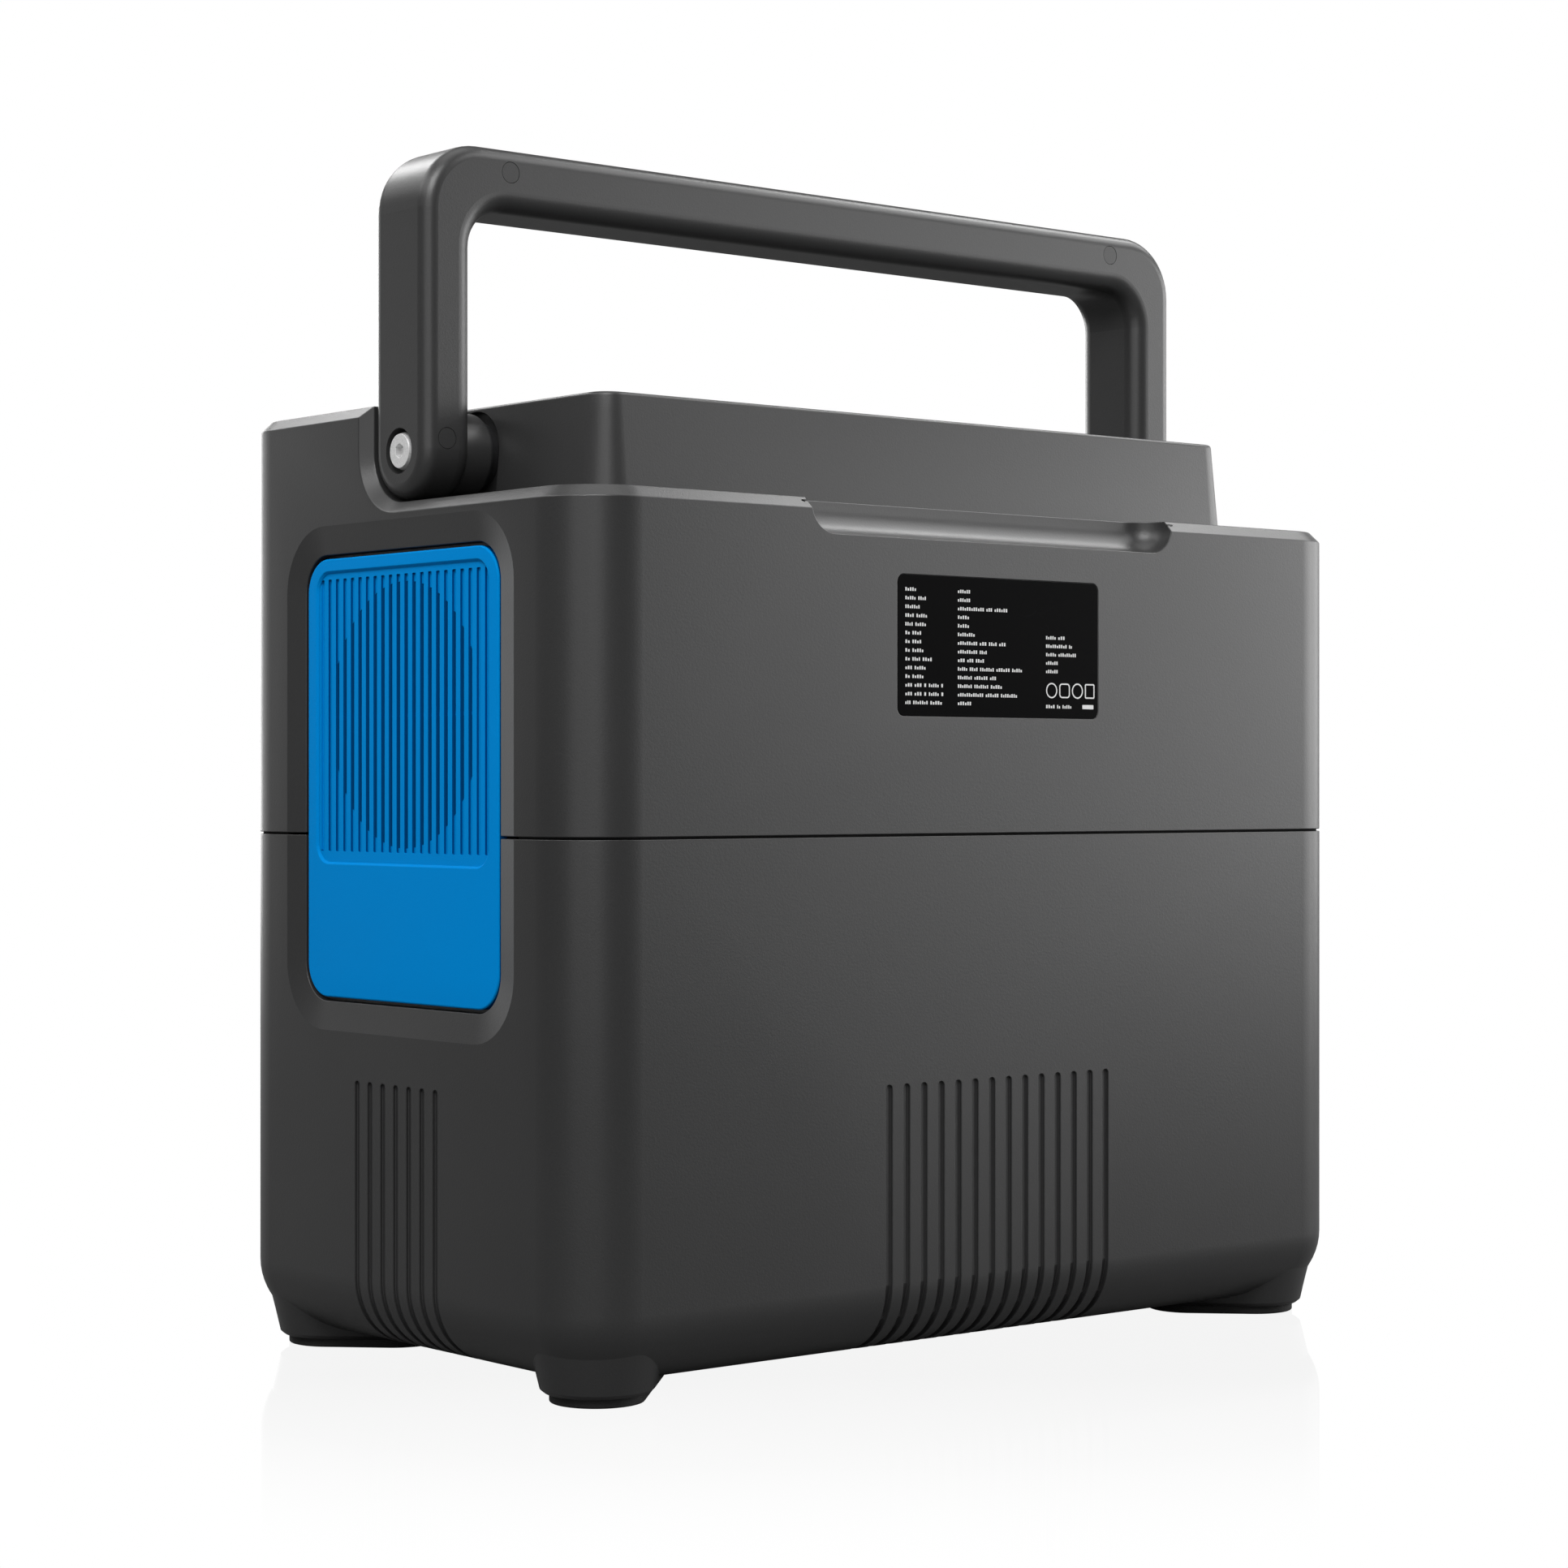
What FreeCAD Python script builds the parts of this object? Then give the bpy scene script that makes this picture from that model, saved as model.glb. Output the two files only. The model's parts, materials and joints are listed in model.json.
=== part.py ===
"""Portable power station: a two-shell case with a folding carry handle, side fans and a battery.

Frame: millimetres, +Z up, origin on the floor under the middle of the case.
The socket panel faces -Y, the rating plate faces +Y, and the fans blow along X.
"""
import FreeCAD
import Part

import math
import os
import re

import Sketcher

doc = FreeCAD.newDocument("power_station")
sheet = doc.addObject("Spreadsheet::Sheet", "Sizes")

DRIVING = [
    ("case_width", 320.0), ("case_depth", 186.0), ("corner_round", 22.0), ("wall", 3.0),
    ("base_level", 5.5), ("seam_level", 161.6), ("seam_gap", 0.7), ("bottom_round", 21.5),
    ("ledge_level", 261.5), ("top_level", 291.4), ("rim_inset", 3.0), ("rim_drop", 3.8),
    ("notch_wall", 16.8), ("notch_round", 15.6),
    ("deck_half", 130.0), ("deck_rear", 63.0), ("deck_draft", 5.0), ("deck_round", 8.0),
    ("pivot_back", 0.9), ("pivot_level", 276.6),
    ("handle_half", 158.2), ("handle_arm", 17.8), ("handle_depth", 28.8), ("handle_top", 368.6),
    ("handle_bar", 19.1), ("handle_corner", 20.3), ("handle_inner_corner", 12.0),
    ("handle_outer_edge", 4.5), ("handle_inner_edge", 6.0),
    ("barrel_radius", 12.6), ("barrel_end", 133.3), ("arch_radius", 13.4), ("arch_floor", 128.5),
    ("screw_recess_radius", 6.9), ("screw_recess_depth", 3.7), ("shank_radius", 4.0),
    ("shank_clearance", 0.05), ("head_radius", 5.7), ("head_height", 3.4), ("hex_across", 4.0),
    ("plug_radius", 3.1), ("plug_gap", 0.15), ("plug_offset", 127.45), ("plug_level", 361.3),
    ("low_plug_offset", 150.5), ("low_plug_level", 279.8), ("plug_depth", 2.0),
    ("scoop_half", 75.6), ("scoop_floor", 250.9), ("scoop_back", 80.0), ("scoop_round", 9.0),
    ("groove_width", 2.6), ("groove_depth", 1.0), ("groove_pitch", 7.0), ("groove_top", 87.0),
    ("rear_grooves", 14), ("side_grooves", 7),
    ("dish_width", 122.0), ("dish_height", 154.6), ("dish_depth", 1.5), ("panel_level", 178.85),
    ("panel_width", 102.4), ("panel_height", 134.6), ("panel_round", 10.6), ("panel_gap", 1.2),
    ("panel_thick", 3.2), ("panel_edge", 0.6), ("seat_lip", 5.0), ("rib_pitch", 4.2065),
    ("rib_slot", 1.85), ("rib_count", 22), ("rib_height", 83.4), ("rib_level", 198.1),
    ("grille_frame_width", 92.6), ("grille_frame_height", 89.6), ("grille_frame_level", 197.4),
    ("grille_frame_depth", 0.9), ("grille_slot_depth", 0.8), ("grille_radius", 40.0),
    ("fan_level", 197.7), ("fan_size", 80.0), ("fan_thick", 25.0), ("fan_bore", 38.0),
    ("fan_round", 4.0), ("fan_hole_offset", 35.75), ("rotor_radius", 37.0), ("hub_radius", 18.0),
    ("blade_count", 7),
    ("plate_width", 84.4), ("plate_height", 42.6), ("plate_level", 218.7), ("plate_round", 2.5),
    ("plate_recess", 0.5), ("plate_thick", 0.4),
    ("front_width", 256.0), ("front_height", 130.0), ("front_level", 183.0), ("front_round", 10.0),
    ("front_recess", 1.5), ("front_thick", 3.0), ("front_gap", 0.8),
    ("stand_x", 130.0), ("stand_y", 63.0), ("stand_length", 53.3), ("stand_width", 32.7),
    ("stand_bottom", 2.7), ("stand_draft", 13.4), ("stand_chamfer", 1.2),
    ("pad_length", 48.3), ("pad_width", 27.7), ("pad_thick", 2.7),
    ("post_x", 141.0), ("post_y", 74.0), ("post_radius", 5.5), ("screw_radius", 1.9),
    ("cell_radius", 16.0), ("cell_length", 70.0), ("cell_pitch", 33.4), ("cell_columns", 7),
    ("cell_rows", 3), ("holder_thick", 4.0), ("pack_bottom", 10.5), ("pack_y", 6.0),
    ("display_level", 224.0), ("lens_width", 96.0), ("lens_height", 36.0), ("lens_thick", 2.0),
    ("button_radius", 7.0), ("button_gap", 0.3), ("button_proud", 0.8), ("button_length", 7.0),
    ("socket_size", 48.0), ("socket_cup", 19.8), ("socket_depth", 17.5), ("socket_length", 34.0),
    ("socket_level", 158.0), ("socket_first", -94.0), ("socket_step", 54.0),
]
for row, (alias, amount) in enumerate(DRIVING, start=1):
    sheet.set("A%d" % row, alias)
    sheet.set("B%d" % row, str(amount))
    sheet.setAlias("B%d" % row, alias)
doc.recompute()

ALIASES = {alias for alias, _ in DRIVING}
SLOT_ANGLE = 45.0


def bound(formula):
    """The formula with each driving size written as a reference to its cell."""
    text = str(formula)
    return re.sub(r"[a-z_]+", lambda word: "Sizes." + word.group(0)
                  if word.group(0) in ALIASES else word.group(0), text)


def size(formula):
    """The formula's present value."""
    return float(sheet.evalExpression(str(formula)))


def bind(item, **formulas):
    """Bind the item's properties to formulas; a double underscore stands for a dot."""
    for name, formula in formulas.items():
        item.setExpression(name.replace("__", "."), bound(formula))
    return item


def place(item, x=0, y=0, z=0):
    """Bind the item's place."""
    return bind(item, Placement__Base__x=x, Placement__Base__y=y, Placement__Base__z=z)


def turn(item, axis, angle):
    """Turn the item about an axis through its own origin."""
    item.Placement.Rotation = FreeCAD.Rotation(FreeCAD.Vector(*axis), angle)
    return item


def box(name, length, width, height, x, y, z, centred="xy"):
    """A box centred on its place along the named axes."""
    item = bind(doc.addObject("Part::Box", name), Length=length, Width=width, Height=height)
    x = "%s - (%s)/2" % (x, length) if "x" in centred else x
    y = "%s - (%s)/2" % (y, width) if "y" in centred else y
    z = "%s - (%s)/2" % (z, height) if "z" in centred else z
    return place(item, x, y, z)


AXES = {"x": ((0, 1, 0), 90), "y": ((1, 0, 0), -90), "z": ((0, 0, 1), 0)}


def rod(name, radius, length, x, y, z, along="z"):
    """A cylinder from its place towards +X, +Y or +Z."""
    item = bind(doc.addObject("Part::Cylinder", name), Radius=radius, Height=length)
    turn(item, *AXES[along])
    return place(item, x, y, z)


def cone(name, low_radius, high_radius, length, x, y, z, along="z"):
    """A cone from its place towards +X, +Y or +Z."""
    item = bind(doc.addObject("Part::Cone", name), Radius1=low_radius, Radius2=high_radius,
                Height=length)
    turn(item, *AXES[along])
    return place(item, x, y, z)


def cut(name, base, *tools):
    """The base with the tools taken away."""
    item = doc.addObject("Part::Cut", name)
    item.Base = base
    item.Tool = tools[0] if len(tools) == 1 else fuse(name + "_tools", *tools)
    return item


def fuse(name, *shapes):
    """One solid from several that touch."""
    item = doc.addObject("Part::MultiFuse", name)
    item.Shapes = list(shapes)
    return item


def common(name, base, tool):
    """What two solids share."""
    item = doc.addObject("Part::Common", name)
    item.Base = base
    item.Tool = tool
    return item


def group(name, items):
    """Several separate solids under one name."""
    item = doc.addObject("Part::Compound", name)
    item.Links = list(items)
    return item


def mirrored(name, source, normal=(1, 0, 0)):
    """The source reflected in a plane through the origin."""
    item = doc.addObject("Part::Mirroring", name)
    item.Source = source
    item.Base = FreeCAD.Vector(0, 0, 0)
    item.Normal = FreeCAD.Vector(*normal)
    return item


def body(name):
    """An empty design body."""
    return doc.addObject("PartDesign::Body", name)


def sketch(owner, name, plane, offset=0):
    """A sketch on one of the body's own origin planes, moved along that plane's normal."""
    item = owner.newObject("Sketcher::SketchObject", name)
    support = [o for o in owner.Origin.OriginFeatures if o.Role == plane + "_Plane"][0]
    item.AttachmentSupport = [(support, "")]
    item.MapMode = "FlatFace"
    bind(item, AttachmentOffset__Base__z=offset)
    return item


def dimension(item, kind, formula, *places):
    """A dimension in a sketch, bound to its formula."""
    index = item.addConstraint(Sketcher.Constraint(kind, *places, size(formula)))
    item.setExpression("Constraints[%d]" % index, bound(formula))


def fix_point(item, geometry, point, x, y):
    """Dimension a sketch point from the sketch's origin."""
    dimension(item, "DistanceX", x, -1, 1, geometry, point)
    dimension(item, "DistanceY", y, -1, 1, geometry, point)


def vector(x, y):
    """A point of a sketch."""
    return FreeCAD.Vector(size(x), size(y), 0)


def draw_polygon(item, points):
    """A closed outline of straight lines through points given as pairs of formulas."""
    first = item.GeometryCount
    count = len(points)
    for index in range(count):
        item.addGeometry(Part.LineSegment(vector(*points[index]),
                                          vector(*points[(index + 1) % count])))
    for index in range(count):
        following = first + (index + 1) % count
        item.addConstraint(Sketcher.Constraint("Coincident", first + index, 2, following, 1))
    for index, (x, y) in enumerate(points):
        fix_point(item, first + index, 1, x, y)


def draw_circle(item, radius, x=0, y=0):
    """A circle about a point."""
    index = item.addGeometry(Part.Circle(vector(x, y), FreeCAD.Vector(0, 0, 1), size(radius)))
    dimension(item, "Radius", radius, index)
    fix_point(item, index, 3, x, y)


def draw_rounded(item, width, height, rounding, x=0, y=0):
    """A rectangle with equal rounded corners, centred on a point."""
    w, h, r = size(width) / 2, size(height) / 2, size(rounding)
    cx, cy = size(x), size(y)
    first = item.GeometryCount
    corners = [(cx + w - r, cy - h + r, -90), (cx + w - r, cy + h - r, 0),
               (cx - w + r, cy + h - r, 90), (cx - w + r, cy - h + r, 180)]
    sides = [((cx - w + r, cy - h), (cx + w - r, cy - h)), ((cx + w, cy - h + r), (cx + w, cy + h - r)),
             ((cx + w - r, cy + h), (cx - w + r, cy + h)), ((cx - w, cy + h - r), (cx - w, cy - h + r))]
    for (start, end), (ax, ay, angle) in zip(sides, corners):
        item.addGeometry(Part.LineSegment(FreeCAD.Vector(*start, 0), FreeCAD.Vector(*end, 0)))
        circle = Part.Circle(FreeCAD.Vector(ax, ay, 0), FreeCAD.Vector(0, 0, 1), r)
        item.addGeometry(Part.ArcOfCircle(circle, math.radians(angle), math.radians(angle + 90)))
    for step in range(4):
        line, arc = first + 2 * step, first + 2 * step + 1
        following = first + (2 * step + 2) % 8
        item.addConstraint(Sketcher.Constraint("Tangent", line, 2, arc, 1))
        item.addConstraint(Sketcher.Constraint("Tangent", arc, 2, following, 1))
        item.addConstraint(Sketcher.Constraint("Horizontal" if step % 2 == 0 else "Vertical", line))
        if step:
            item.addConstraint(Sketcher.Constraint("Equal", first + 1, arc))
    dimension(item, "Radius", rounding, first + 1)
    low = "%s - (%s)/2" % (y, height)
    right = "%s + (%s)/2" % (x, width)
    dimension(item, "DistanceY", low, -1, 1, first, 1)
    dimension(item, "DistanceX", right, -1, 1, first + 2, 1)
    dimension(item, "DistanceY", height, first, 1, first + 4, 1)
    dimension(item, "DistanceX", width, first + 6, 1, first + 2, 1)


def draw_slot(item, length, width, x, y, angle):
    """A straight slot with round ends, centred on a point and turned by an angle."""
    half = "((%s) - (%s))/2" % (length, width)
    cosine, sine = math.cos(math.radians(angle)), math.sin(math.radians(angle))
    ends = []
    for sign in (1, -1):
        along_x = "%s + %.9f*%s" % (x, sign * cosine, half)
        along_y = "%s + %.9f*%s" % (y, sign * sine, half)
        ends.append((along_x, along_y))
    r = size(width) / 2
    first = item.GeometryCount
    for (ex, ey), start in zip(ends, (angle - 90, angle + 90)):
        circle = Part.Circle(vector(ex, ey), FreeCAD.Vector(0, 0, 1), r)
        item.addGeometry(Part.ArcOfCircle(circle, math.radians(start), math.radians(start + 180)))
    across = FreeCAD.Vector(-sine * r, cosine * r, 0)
    item.addGeometry(Part.LineSegment(vector(*ends[0]) + across, vector(*ends[1]) + across))
    item.addGeometry(Part.LineSegment(vector(*ends[1]) - across, vector(*ends[0]) - across))
    near, far, upper, lower = first, first + 1, first + 2, first + 3
    for pair in ((near, 2, upper, 1), (upper, 2, far, 1), (far, 2, lower, 1), (lower, 2, near, 1)):
        item.addConstraint(Sketcher.Constraint("Tangent", *pair))
    dimension(item, "Radius", "(%s)/2" % width, near)
    fix_point(item, near, 3, *ends[0])
    fix_point(item, far, 3, *ends[1])


def pad(owner, name, profile, length, reverse=False, taper=None):
    """Material grown from a sketch."""
    item = owner.newObject("PartDesign::Pad", name)
    item.Profile = profile
    item.Reversed = reverse
    bind(item, Length=length)
    if taper is not None:
        bind(item, TaperAngle=taper)
    return item


def pocket(owner, name, profile, length, reverse=False):
    """Material cut away from a sketch, which must change the volume."""
    doc.recompute()
    before = owner.Shape.Volume
    item = owner.newObject("PartDesign::Pocket", name)
    item.Profile = profile
    item.Reversed = reverse
    bind(item, Length=length)
    doc.recompute()
    if abs(owner.Shape.Volume - before) < 1e-3:
        raise RuntimeError("pocket %s cuts nothing" % name)
    return item


def edges_where(feature, test):
    """Names of the feature's edges whose box passes the test."""
    doc.recompute()
    names = []
    for index, edge in enumerate(feature.Shape.Edges, start=1):
        if test(edge.BoundBox, edge):
            names.append("Edge%d" % index)
    if not names:
        raise RuntimeError("no edge found on %s" % feature.Name)
    return names


def dress(owner, kind, name, feature, test, **formulas):
    """A fillet or chamfer on the edges that pass the test."""
    item = owner.newObject("PartDesign::" + kind, name)
    item.Base = (feature, edges_where(feature, test))
    return bind(item, **formulas)


def row_of(owner, name, features, profile, axis, length, count):
    """A straight row of repeated features."""
    item = owner.newObject("PartDesign::LinearPattern", name)
    item.Originals = features
    item.Direction = (profile, [axis])
    bind(item, Length=length, Occurrences=count)
    owner.Tip = item
    return item


def near(value, formula, slack=0.05):
    """Whether a measured value is that of the formula."""
    return abs(value - size(formula)) < slack


def flat_at(edge_box, formula):
    """Whether an edge lies in the level plane at the formula's height."""
    return near(edge_box.ZMin, formula) and near(edge_box.ZMax, formula)


subparts = []


def keep(label, item):
    """Name a finished sub-part."""
    item.Label = label
    subparts.append(item)
    return item


# --- case: one blank with every outside and inside feature, split at the seam -----------------
case = body("case_blank")

outline = sketch(case, "case_outline", "XY", "base_level")
draw_rounded(outline, "case_width", "case_depth", "corner_round")
tub = pad(case, "case_tub", outline, "ledge_level - base_level")
bottom = dress(case, "Fillet", "case_bottom_round", tub,
               lambda b, e: flat_at(b, "base_level"), Radius="bottom_round")

stand_plan = sketch(case, "stand_plan", "XY", "stand_bottom")
for sign_x in (1, -1):
    for sign_y in (1, -1):
        draw_slot(stand_plan, "stand_length", "stand_width", "%d*stand_x" % sign_x,
                  "%d*stand_y" % sign_y, SLOT_ANGLE * sign_x * sign_y)
stands = pad(case, "stands", stand_plan, 17, taper="stand_draft")
stands_edge = dress(case, "Chamfer", "stand_edge", stands,
                    lambda b, e: flat_at(b, "stand_bottom"), Size="stand_chamfer")

front_plan = sketch(case, "front_plan", "XY", "ledge_level - 5")
draw_rounded(front_plan, "case_width", "case_depth", "corner_round")
front_block = pad(case, "front_block", front_plan, "top_level - ledge_level + 5")
ledge_plan = sketch(case, "ledge_plan", "YZ", "-case_width")
draw_polygon(ledge_plan, [("-notch_wall", "ledge_level"), ("case_depth", "ledge_level"),
                          ("case_depth", "top_level + 5"), ("-notch_wall", "top_level + 5")])
ledge = pocket(case, "ledge_cut", ledge_plan, "case_width*2", reverse=True)
notch = dress(case, "Fillet", "notch_round", ledge,
              lambda b, e: flat_at(b, "ledge_level") and near(b.YMin, "-notch_wall")
              and near(b.YMax, "-notch_wall"), Radius="notch_round")


def is_rim_edge(b, e):
    """The top edges of the outer walls: round the ledge, up the notch and round the front block."""
    on_wall = (near(b.XMax, "case_width/2") or near(b.XMin, "-case_width/2")
               or near(b.YMax, "case_depth/2") or near(b.YMin, "-case_depth/2"))
    upright = near(b.ZLength, "top_level - ledge_level", 0.5)
    across = near(b.YMin, "-notch_wall") and b.XLength > 1
    return on_wall and b.ZMin > size("ledge_level") - 0.1 and not upright and not across


rim = dress(case, "Chamfer", "rim_chamfer", notch, is_rim_edge, Size="(rim_inset + rim_drop)/2")

deck_plan = sketch(case, "deck_plan", "XY", "ledge_level")
DECK_GROWTH = "(top_level - ledge_level)*tan(deck_draft)"
draw_rounded(deck_plan, "2*(deck_half + %s)" % DECK_GROWTH, "deck_rear + %s + 40" % DECK_GROWTH,
             "deck_round + 2", 0, "(deck_rear + %s - 40)/2" % DECK_GROWTH)
deck = pad(case, "deck", deck_plan, "top_level - ledge_level", taper="-deck_draft")
deck_edge = dress(case, "Fillet", "deck_edge", deck,
                  lambda b, e: flat_at(b, "top_level") and b.YMax > -10, Radius=1.2)

hollow = body("hollow_body")
hollow_plan = sketch(hollow, "hollow_plan", "XY", "base_level + wall")
draw_rounded(hollow_plan, "case_width - 2*wall", "case_depth - 2*wall", "corner_round - wall")
hollow_pad = pad(hollow, "hollow_pad", hollow_plan, "ledge_level - base_level - 2*wall")
dress(hollow, "Fillet", "hollow_round", hollow_pad,
      lambda b, e: flat_at(b, "base_level + wall"), Radius="bottom_round - wall")
loft_plan = sketch(hollow, "loft_plan", "XY", "ledge_level - wall - 5")
draw_rounded(loft_plan, "2*deck_half - 10", "deck_rear - 4 + case_depth/2 - wall - 2", 12,
             0, "(deck_rear - 4 - case_depth/2 + wall + 2)/2")
pad(hollow, "loft_pad", loft_plan, "top_level - ledge_level + 5")
doc.recompute()
cavity = case.newObject("PartDesign::Boolean", "cavity")
cavity.Type = "Cut"
cavity.Group = [hollow]

pack_ribs_plan = sketch(case, "pack_ribs_plan", "XY", "base_level + wall - 0.5")
for row_y in ("pack_y - cell_length + 3", "pack_y", "pack_y + cell_length - 4.5"):
    draw_rounded(pack_ribs_plan, 210, 4, 1, 0, row_y)
pad(case, "pack_ribs", pack_ribs_plan, "pack_bottom - base_level - wall - 0.5")

scoop_boss_plan = sketch(case, "scoop_boss_plan", "XY", "scoop_floor - 3")
draw_rounded(scoop_boss_plan, "2*scoop_half + 10", 20, 4, 0, "case_depth/2 - wall - 9")
scoop_boss = pad(case, "scoop_boss", scoop_boss_plan, "ledge_level - scoop_floor + 2")

PANEL_OPENING = ("panel_width + 2*panel_gap", "panel_height + 2*panel_gap", "panel_round + panel_gap")
for side, face in (("right", 1), ("left", -1)):
    ring_plan = sketch(case, side + "_ring_plan", "YZ", "%d*(case_width/2 - wall - 3)" % face)
    draw_rounded(ring_plan, "panel_width + 14", "panel_height + 14", "panel_round + 6", 0, "panel_level")
    pad(case, side + "_ring", ring_plan, "3.5", reverse=face < 0)
face_ring_plan = sketch(case, "face_ring_plan", "XZ", "case_depth/2 - wall - 4")
draw_rounded(face_ring_plan, "front_width + 10", "front_height + 10", "front_round + 4", 0, "front_level")
face_ring = pad(case, "face_ring", face_ring_plan, 4.5)
posts_plan = sketch(case, "posts_plan", "XY", "base_level + 1")
for sign_x in (1, -1):
    for sign_y in (1, -1):
        draw_circle(posts_plan, "post_radius", "%d*post_x" % sign_x, "%d*post_y" % sign_y)
posts = pad(case, "posts", posts_plan, "ledge_level - wall - base_level")

scoop_plan = sketch(case, "scoop_plan", "XY", "scoop_floor")
draw_rounded(scoop_plan, "2*scoop_half", "80", 10, 0, "scoop_back + 40")
scoop = pocket(case, "scoop", scoop_plan, 60, reverse=True)


def is_scoop_floor_edge(b, e):
    """The inner edges of the scoop's floor, all but the open one on the rear face."""
    return flat_at(b, "scoop_floor") and b.YMax < size("case_depth/2") + 0.01 and not (
        near(b.YMin, "case_depth/2") and near(b.YMax, "case_depth/2")) and abs(b.XMax) < 76.5


scoop_cove = dress(case, "Fillet", "scoop_cove", scoop, is_scoop_floor_edge, Radius="scoop_round")

for side, face in (("right", 1), ("left", -1)):
    arch_plan = sketch(case, side + "_arch_plan", "YZ", "%d*arch_floor" % face)
    draw_circle(arch_plan, "arch_radius", "-pivot_back", "pivot_level")
    pocket(case, side + "_arch", arch_plan, 12, reverse=face > 0)
    foot_plan = sketch(case, side + "_arch_foot_plan", "YZ", "%d*arch_floor" % face)
    draw_polygon(foot_plan, [("-pivot_back - arch_radius", "ledge_level"),
                             ("-pivot_back + arch_radius", "ledge_level"),
                             ("-pivot_back + arch_radius", "pivot_level"),
                             ("-pivot_back - arch_radius", "pivot_level")])
    pocket(case, side + "_arch_foot", foot_plan, 12, reverse=face > 0)
    bush_plan = sketch(case, side + "_bush_plan", "YZ", "%d*(arch_floor + 1)" % face)
    draw_circle(bush_plan, "shank_radius + 2.5", "-pivot_back", "pivot_level")
    pocket(case, side + "_bush_hole", bush_plan, 6, reverse=face < 0)

    dish_low = sketch(case, side + "_dish_outer", "YZ", "%d*case_width/2" % face)
    draw_rounded(dish_low, "dish_width", "dish_height", "panel_round + 10", 0, "panel_level")
    dish_high = sketch(case, side + "_dish_inner", "YZ", "%d*(case_width/2 - dish_depth)" % face)
    draw_rounded(dish_high, *PANEL_OPENING, 0, "panel_level")
    dish = case.newObject("PartDesign::SubtractiveLoft", side + "_dish")
    dish.Profile = dish_low
    dish.Sections = [dish_high]
    dish.Ruled = True
    seat_plan = sketch(case, side + "_seat_plan", "YZ", "%d*case_width/2" % face)
    draw_rounded(seat_plan, *PANEL_OPENING, 0, "panel_level")
    pocket(case, side + "_seat", seat_plan, "dish_depth + panel_thick", reverse=face < 0)
    window_plan = sketch(case, side + "_window_plan", "YZ", "%d*case_width/2" % face)
    draw_rounded(window_plan, "panel_width - 2*seat_lip", "panel_height - 2*seat_lip",
                 "panel_round - 4", 0, "panel_level")
    pocket(case, side + "_window", window_plan, 20, reverse=face < 0)

face_seat_plan = sketch(case, "face_seat_plan", "XZ", "case_depth/2")
draw_rounded(face_seat_plan, "front_width", "front_height", "front_round", 0, "front_level")
pocket(case, "face_seat", face_seat_plan, "front_recess + front_thick")
face_window_plan = sketch(case, "face_window_plan", "XZ", "case_depth/2")
draw_rounded(face_window_plan, "front_width - 8", "front_height - 8", "front_round - 4", 0, "front_level")
pocket(case, "face_window", face_window_plan, 20)

plate_seat_plan = sketch(case, "plate_seat_plan", "XZ", "-case_depth/2")
draw_rounded(plate_seat_plan, "plate_width", "plate_height", "plate_round", 0, "plate_level")
pocket(case, "plate_seat", plate_seat_plan, "plate_recess", reverse=True)

INNER = "case_depth/2 - groove_depth"


def groove_outline(item, half):
    """The side view of one groove: down the wall, round the bottom corner and under the case."""
    face = "%s - groove_depth" % half
    under = "base_level + groove_depth"
    start = "base_level + bottom_round"
    middle = "(bottom_round - groove_depth)"
    draw_polygon(item, [("%s + 2" % half, "groove_top - groove_width/2"),
                        (face, "groove_top - groove_width/2"), (face, start),
                        ("%s - %s*0.134" % (face, middle), "%s + %s*0.5" % (under, middle)),
                        ("%s - %s*0.5" % (face, middle), "%s + %s*0.134" % (under, middle)),
                        ("%s - %s" % (face, middle), under),
                        ("%s - 30" % half, under), ("%s - 30" % half, 1), ("%s + 2" % half, 1)])


def groove_row(name, side_plane, end_plane, half, end_sign, count):
    """A row of upright grooves on one face."""
    start = "-groove_pitch*(%s - 1)/2" % count
    flip = end_sign < 0
    side_view = sketch(case, name + "_side_view", side_plane,
                       "%s - groove_width/2" % start if side_plane == "YZ"
                       else "-(%s) - groove_width/2" % start)
    groove_outline(side_view, half)
    cut_wall = pocket(case, name + "_cut", side_view, "groove_width", reverse=True)
    end_view = sketch(case, name + "_end_view", end_plane, "%d*%s" % (end_sign, half))
    draw_circle(end_view, "groove_width/2", start if side_plane == "YZ" else start,
                "groove_top - groove_width/2")
    cut_end = pocket(case, name + "_end", end_view, "groove_depth", reverse=flip)
    return row_of(case, name + "_row", [cut_wall, cut_end], end_view, "H_Axis",
                  "groove_pitch*(%s - 1)" % count, count)


doc.recompute()
groove_row("rear_groove", "YZ", "XZ", "case_depth/2", -1, "rear_grooves")

for name, start, radius, depth in (
        ("screw_wells", "stand_bottom", "screw_radius + 0.1", "seam_level - stand_bottom + 15"),
        ("head_wells", "stand_bottom", "screw_radius*2", "5")):
    well_plan = sketch(case, name + "_plan", "XY", start)
    for sign_x in (1, -1):
        for sign_y in (1, -1):
            draw_circle(well_plan, radius, "%d*post_x" % sign_x, "%d*post_y" % sign_y)
    pocket(case, name, well_plan, depth, reverse=True)
doc.recompute()

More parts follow.
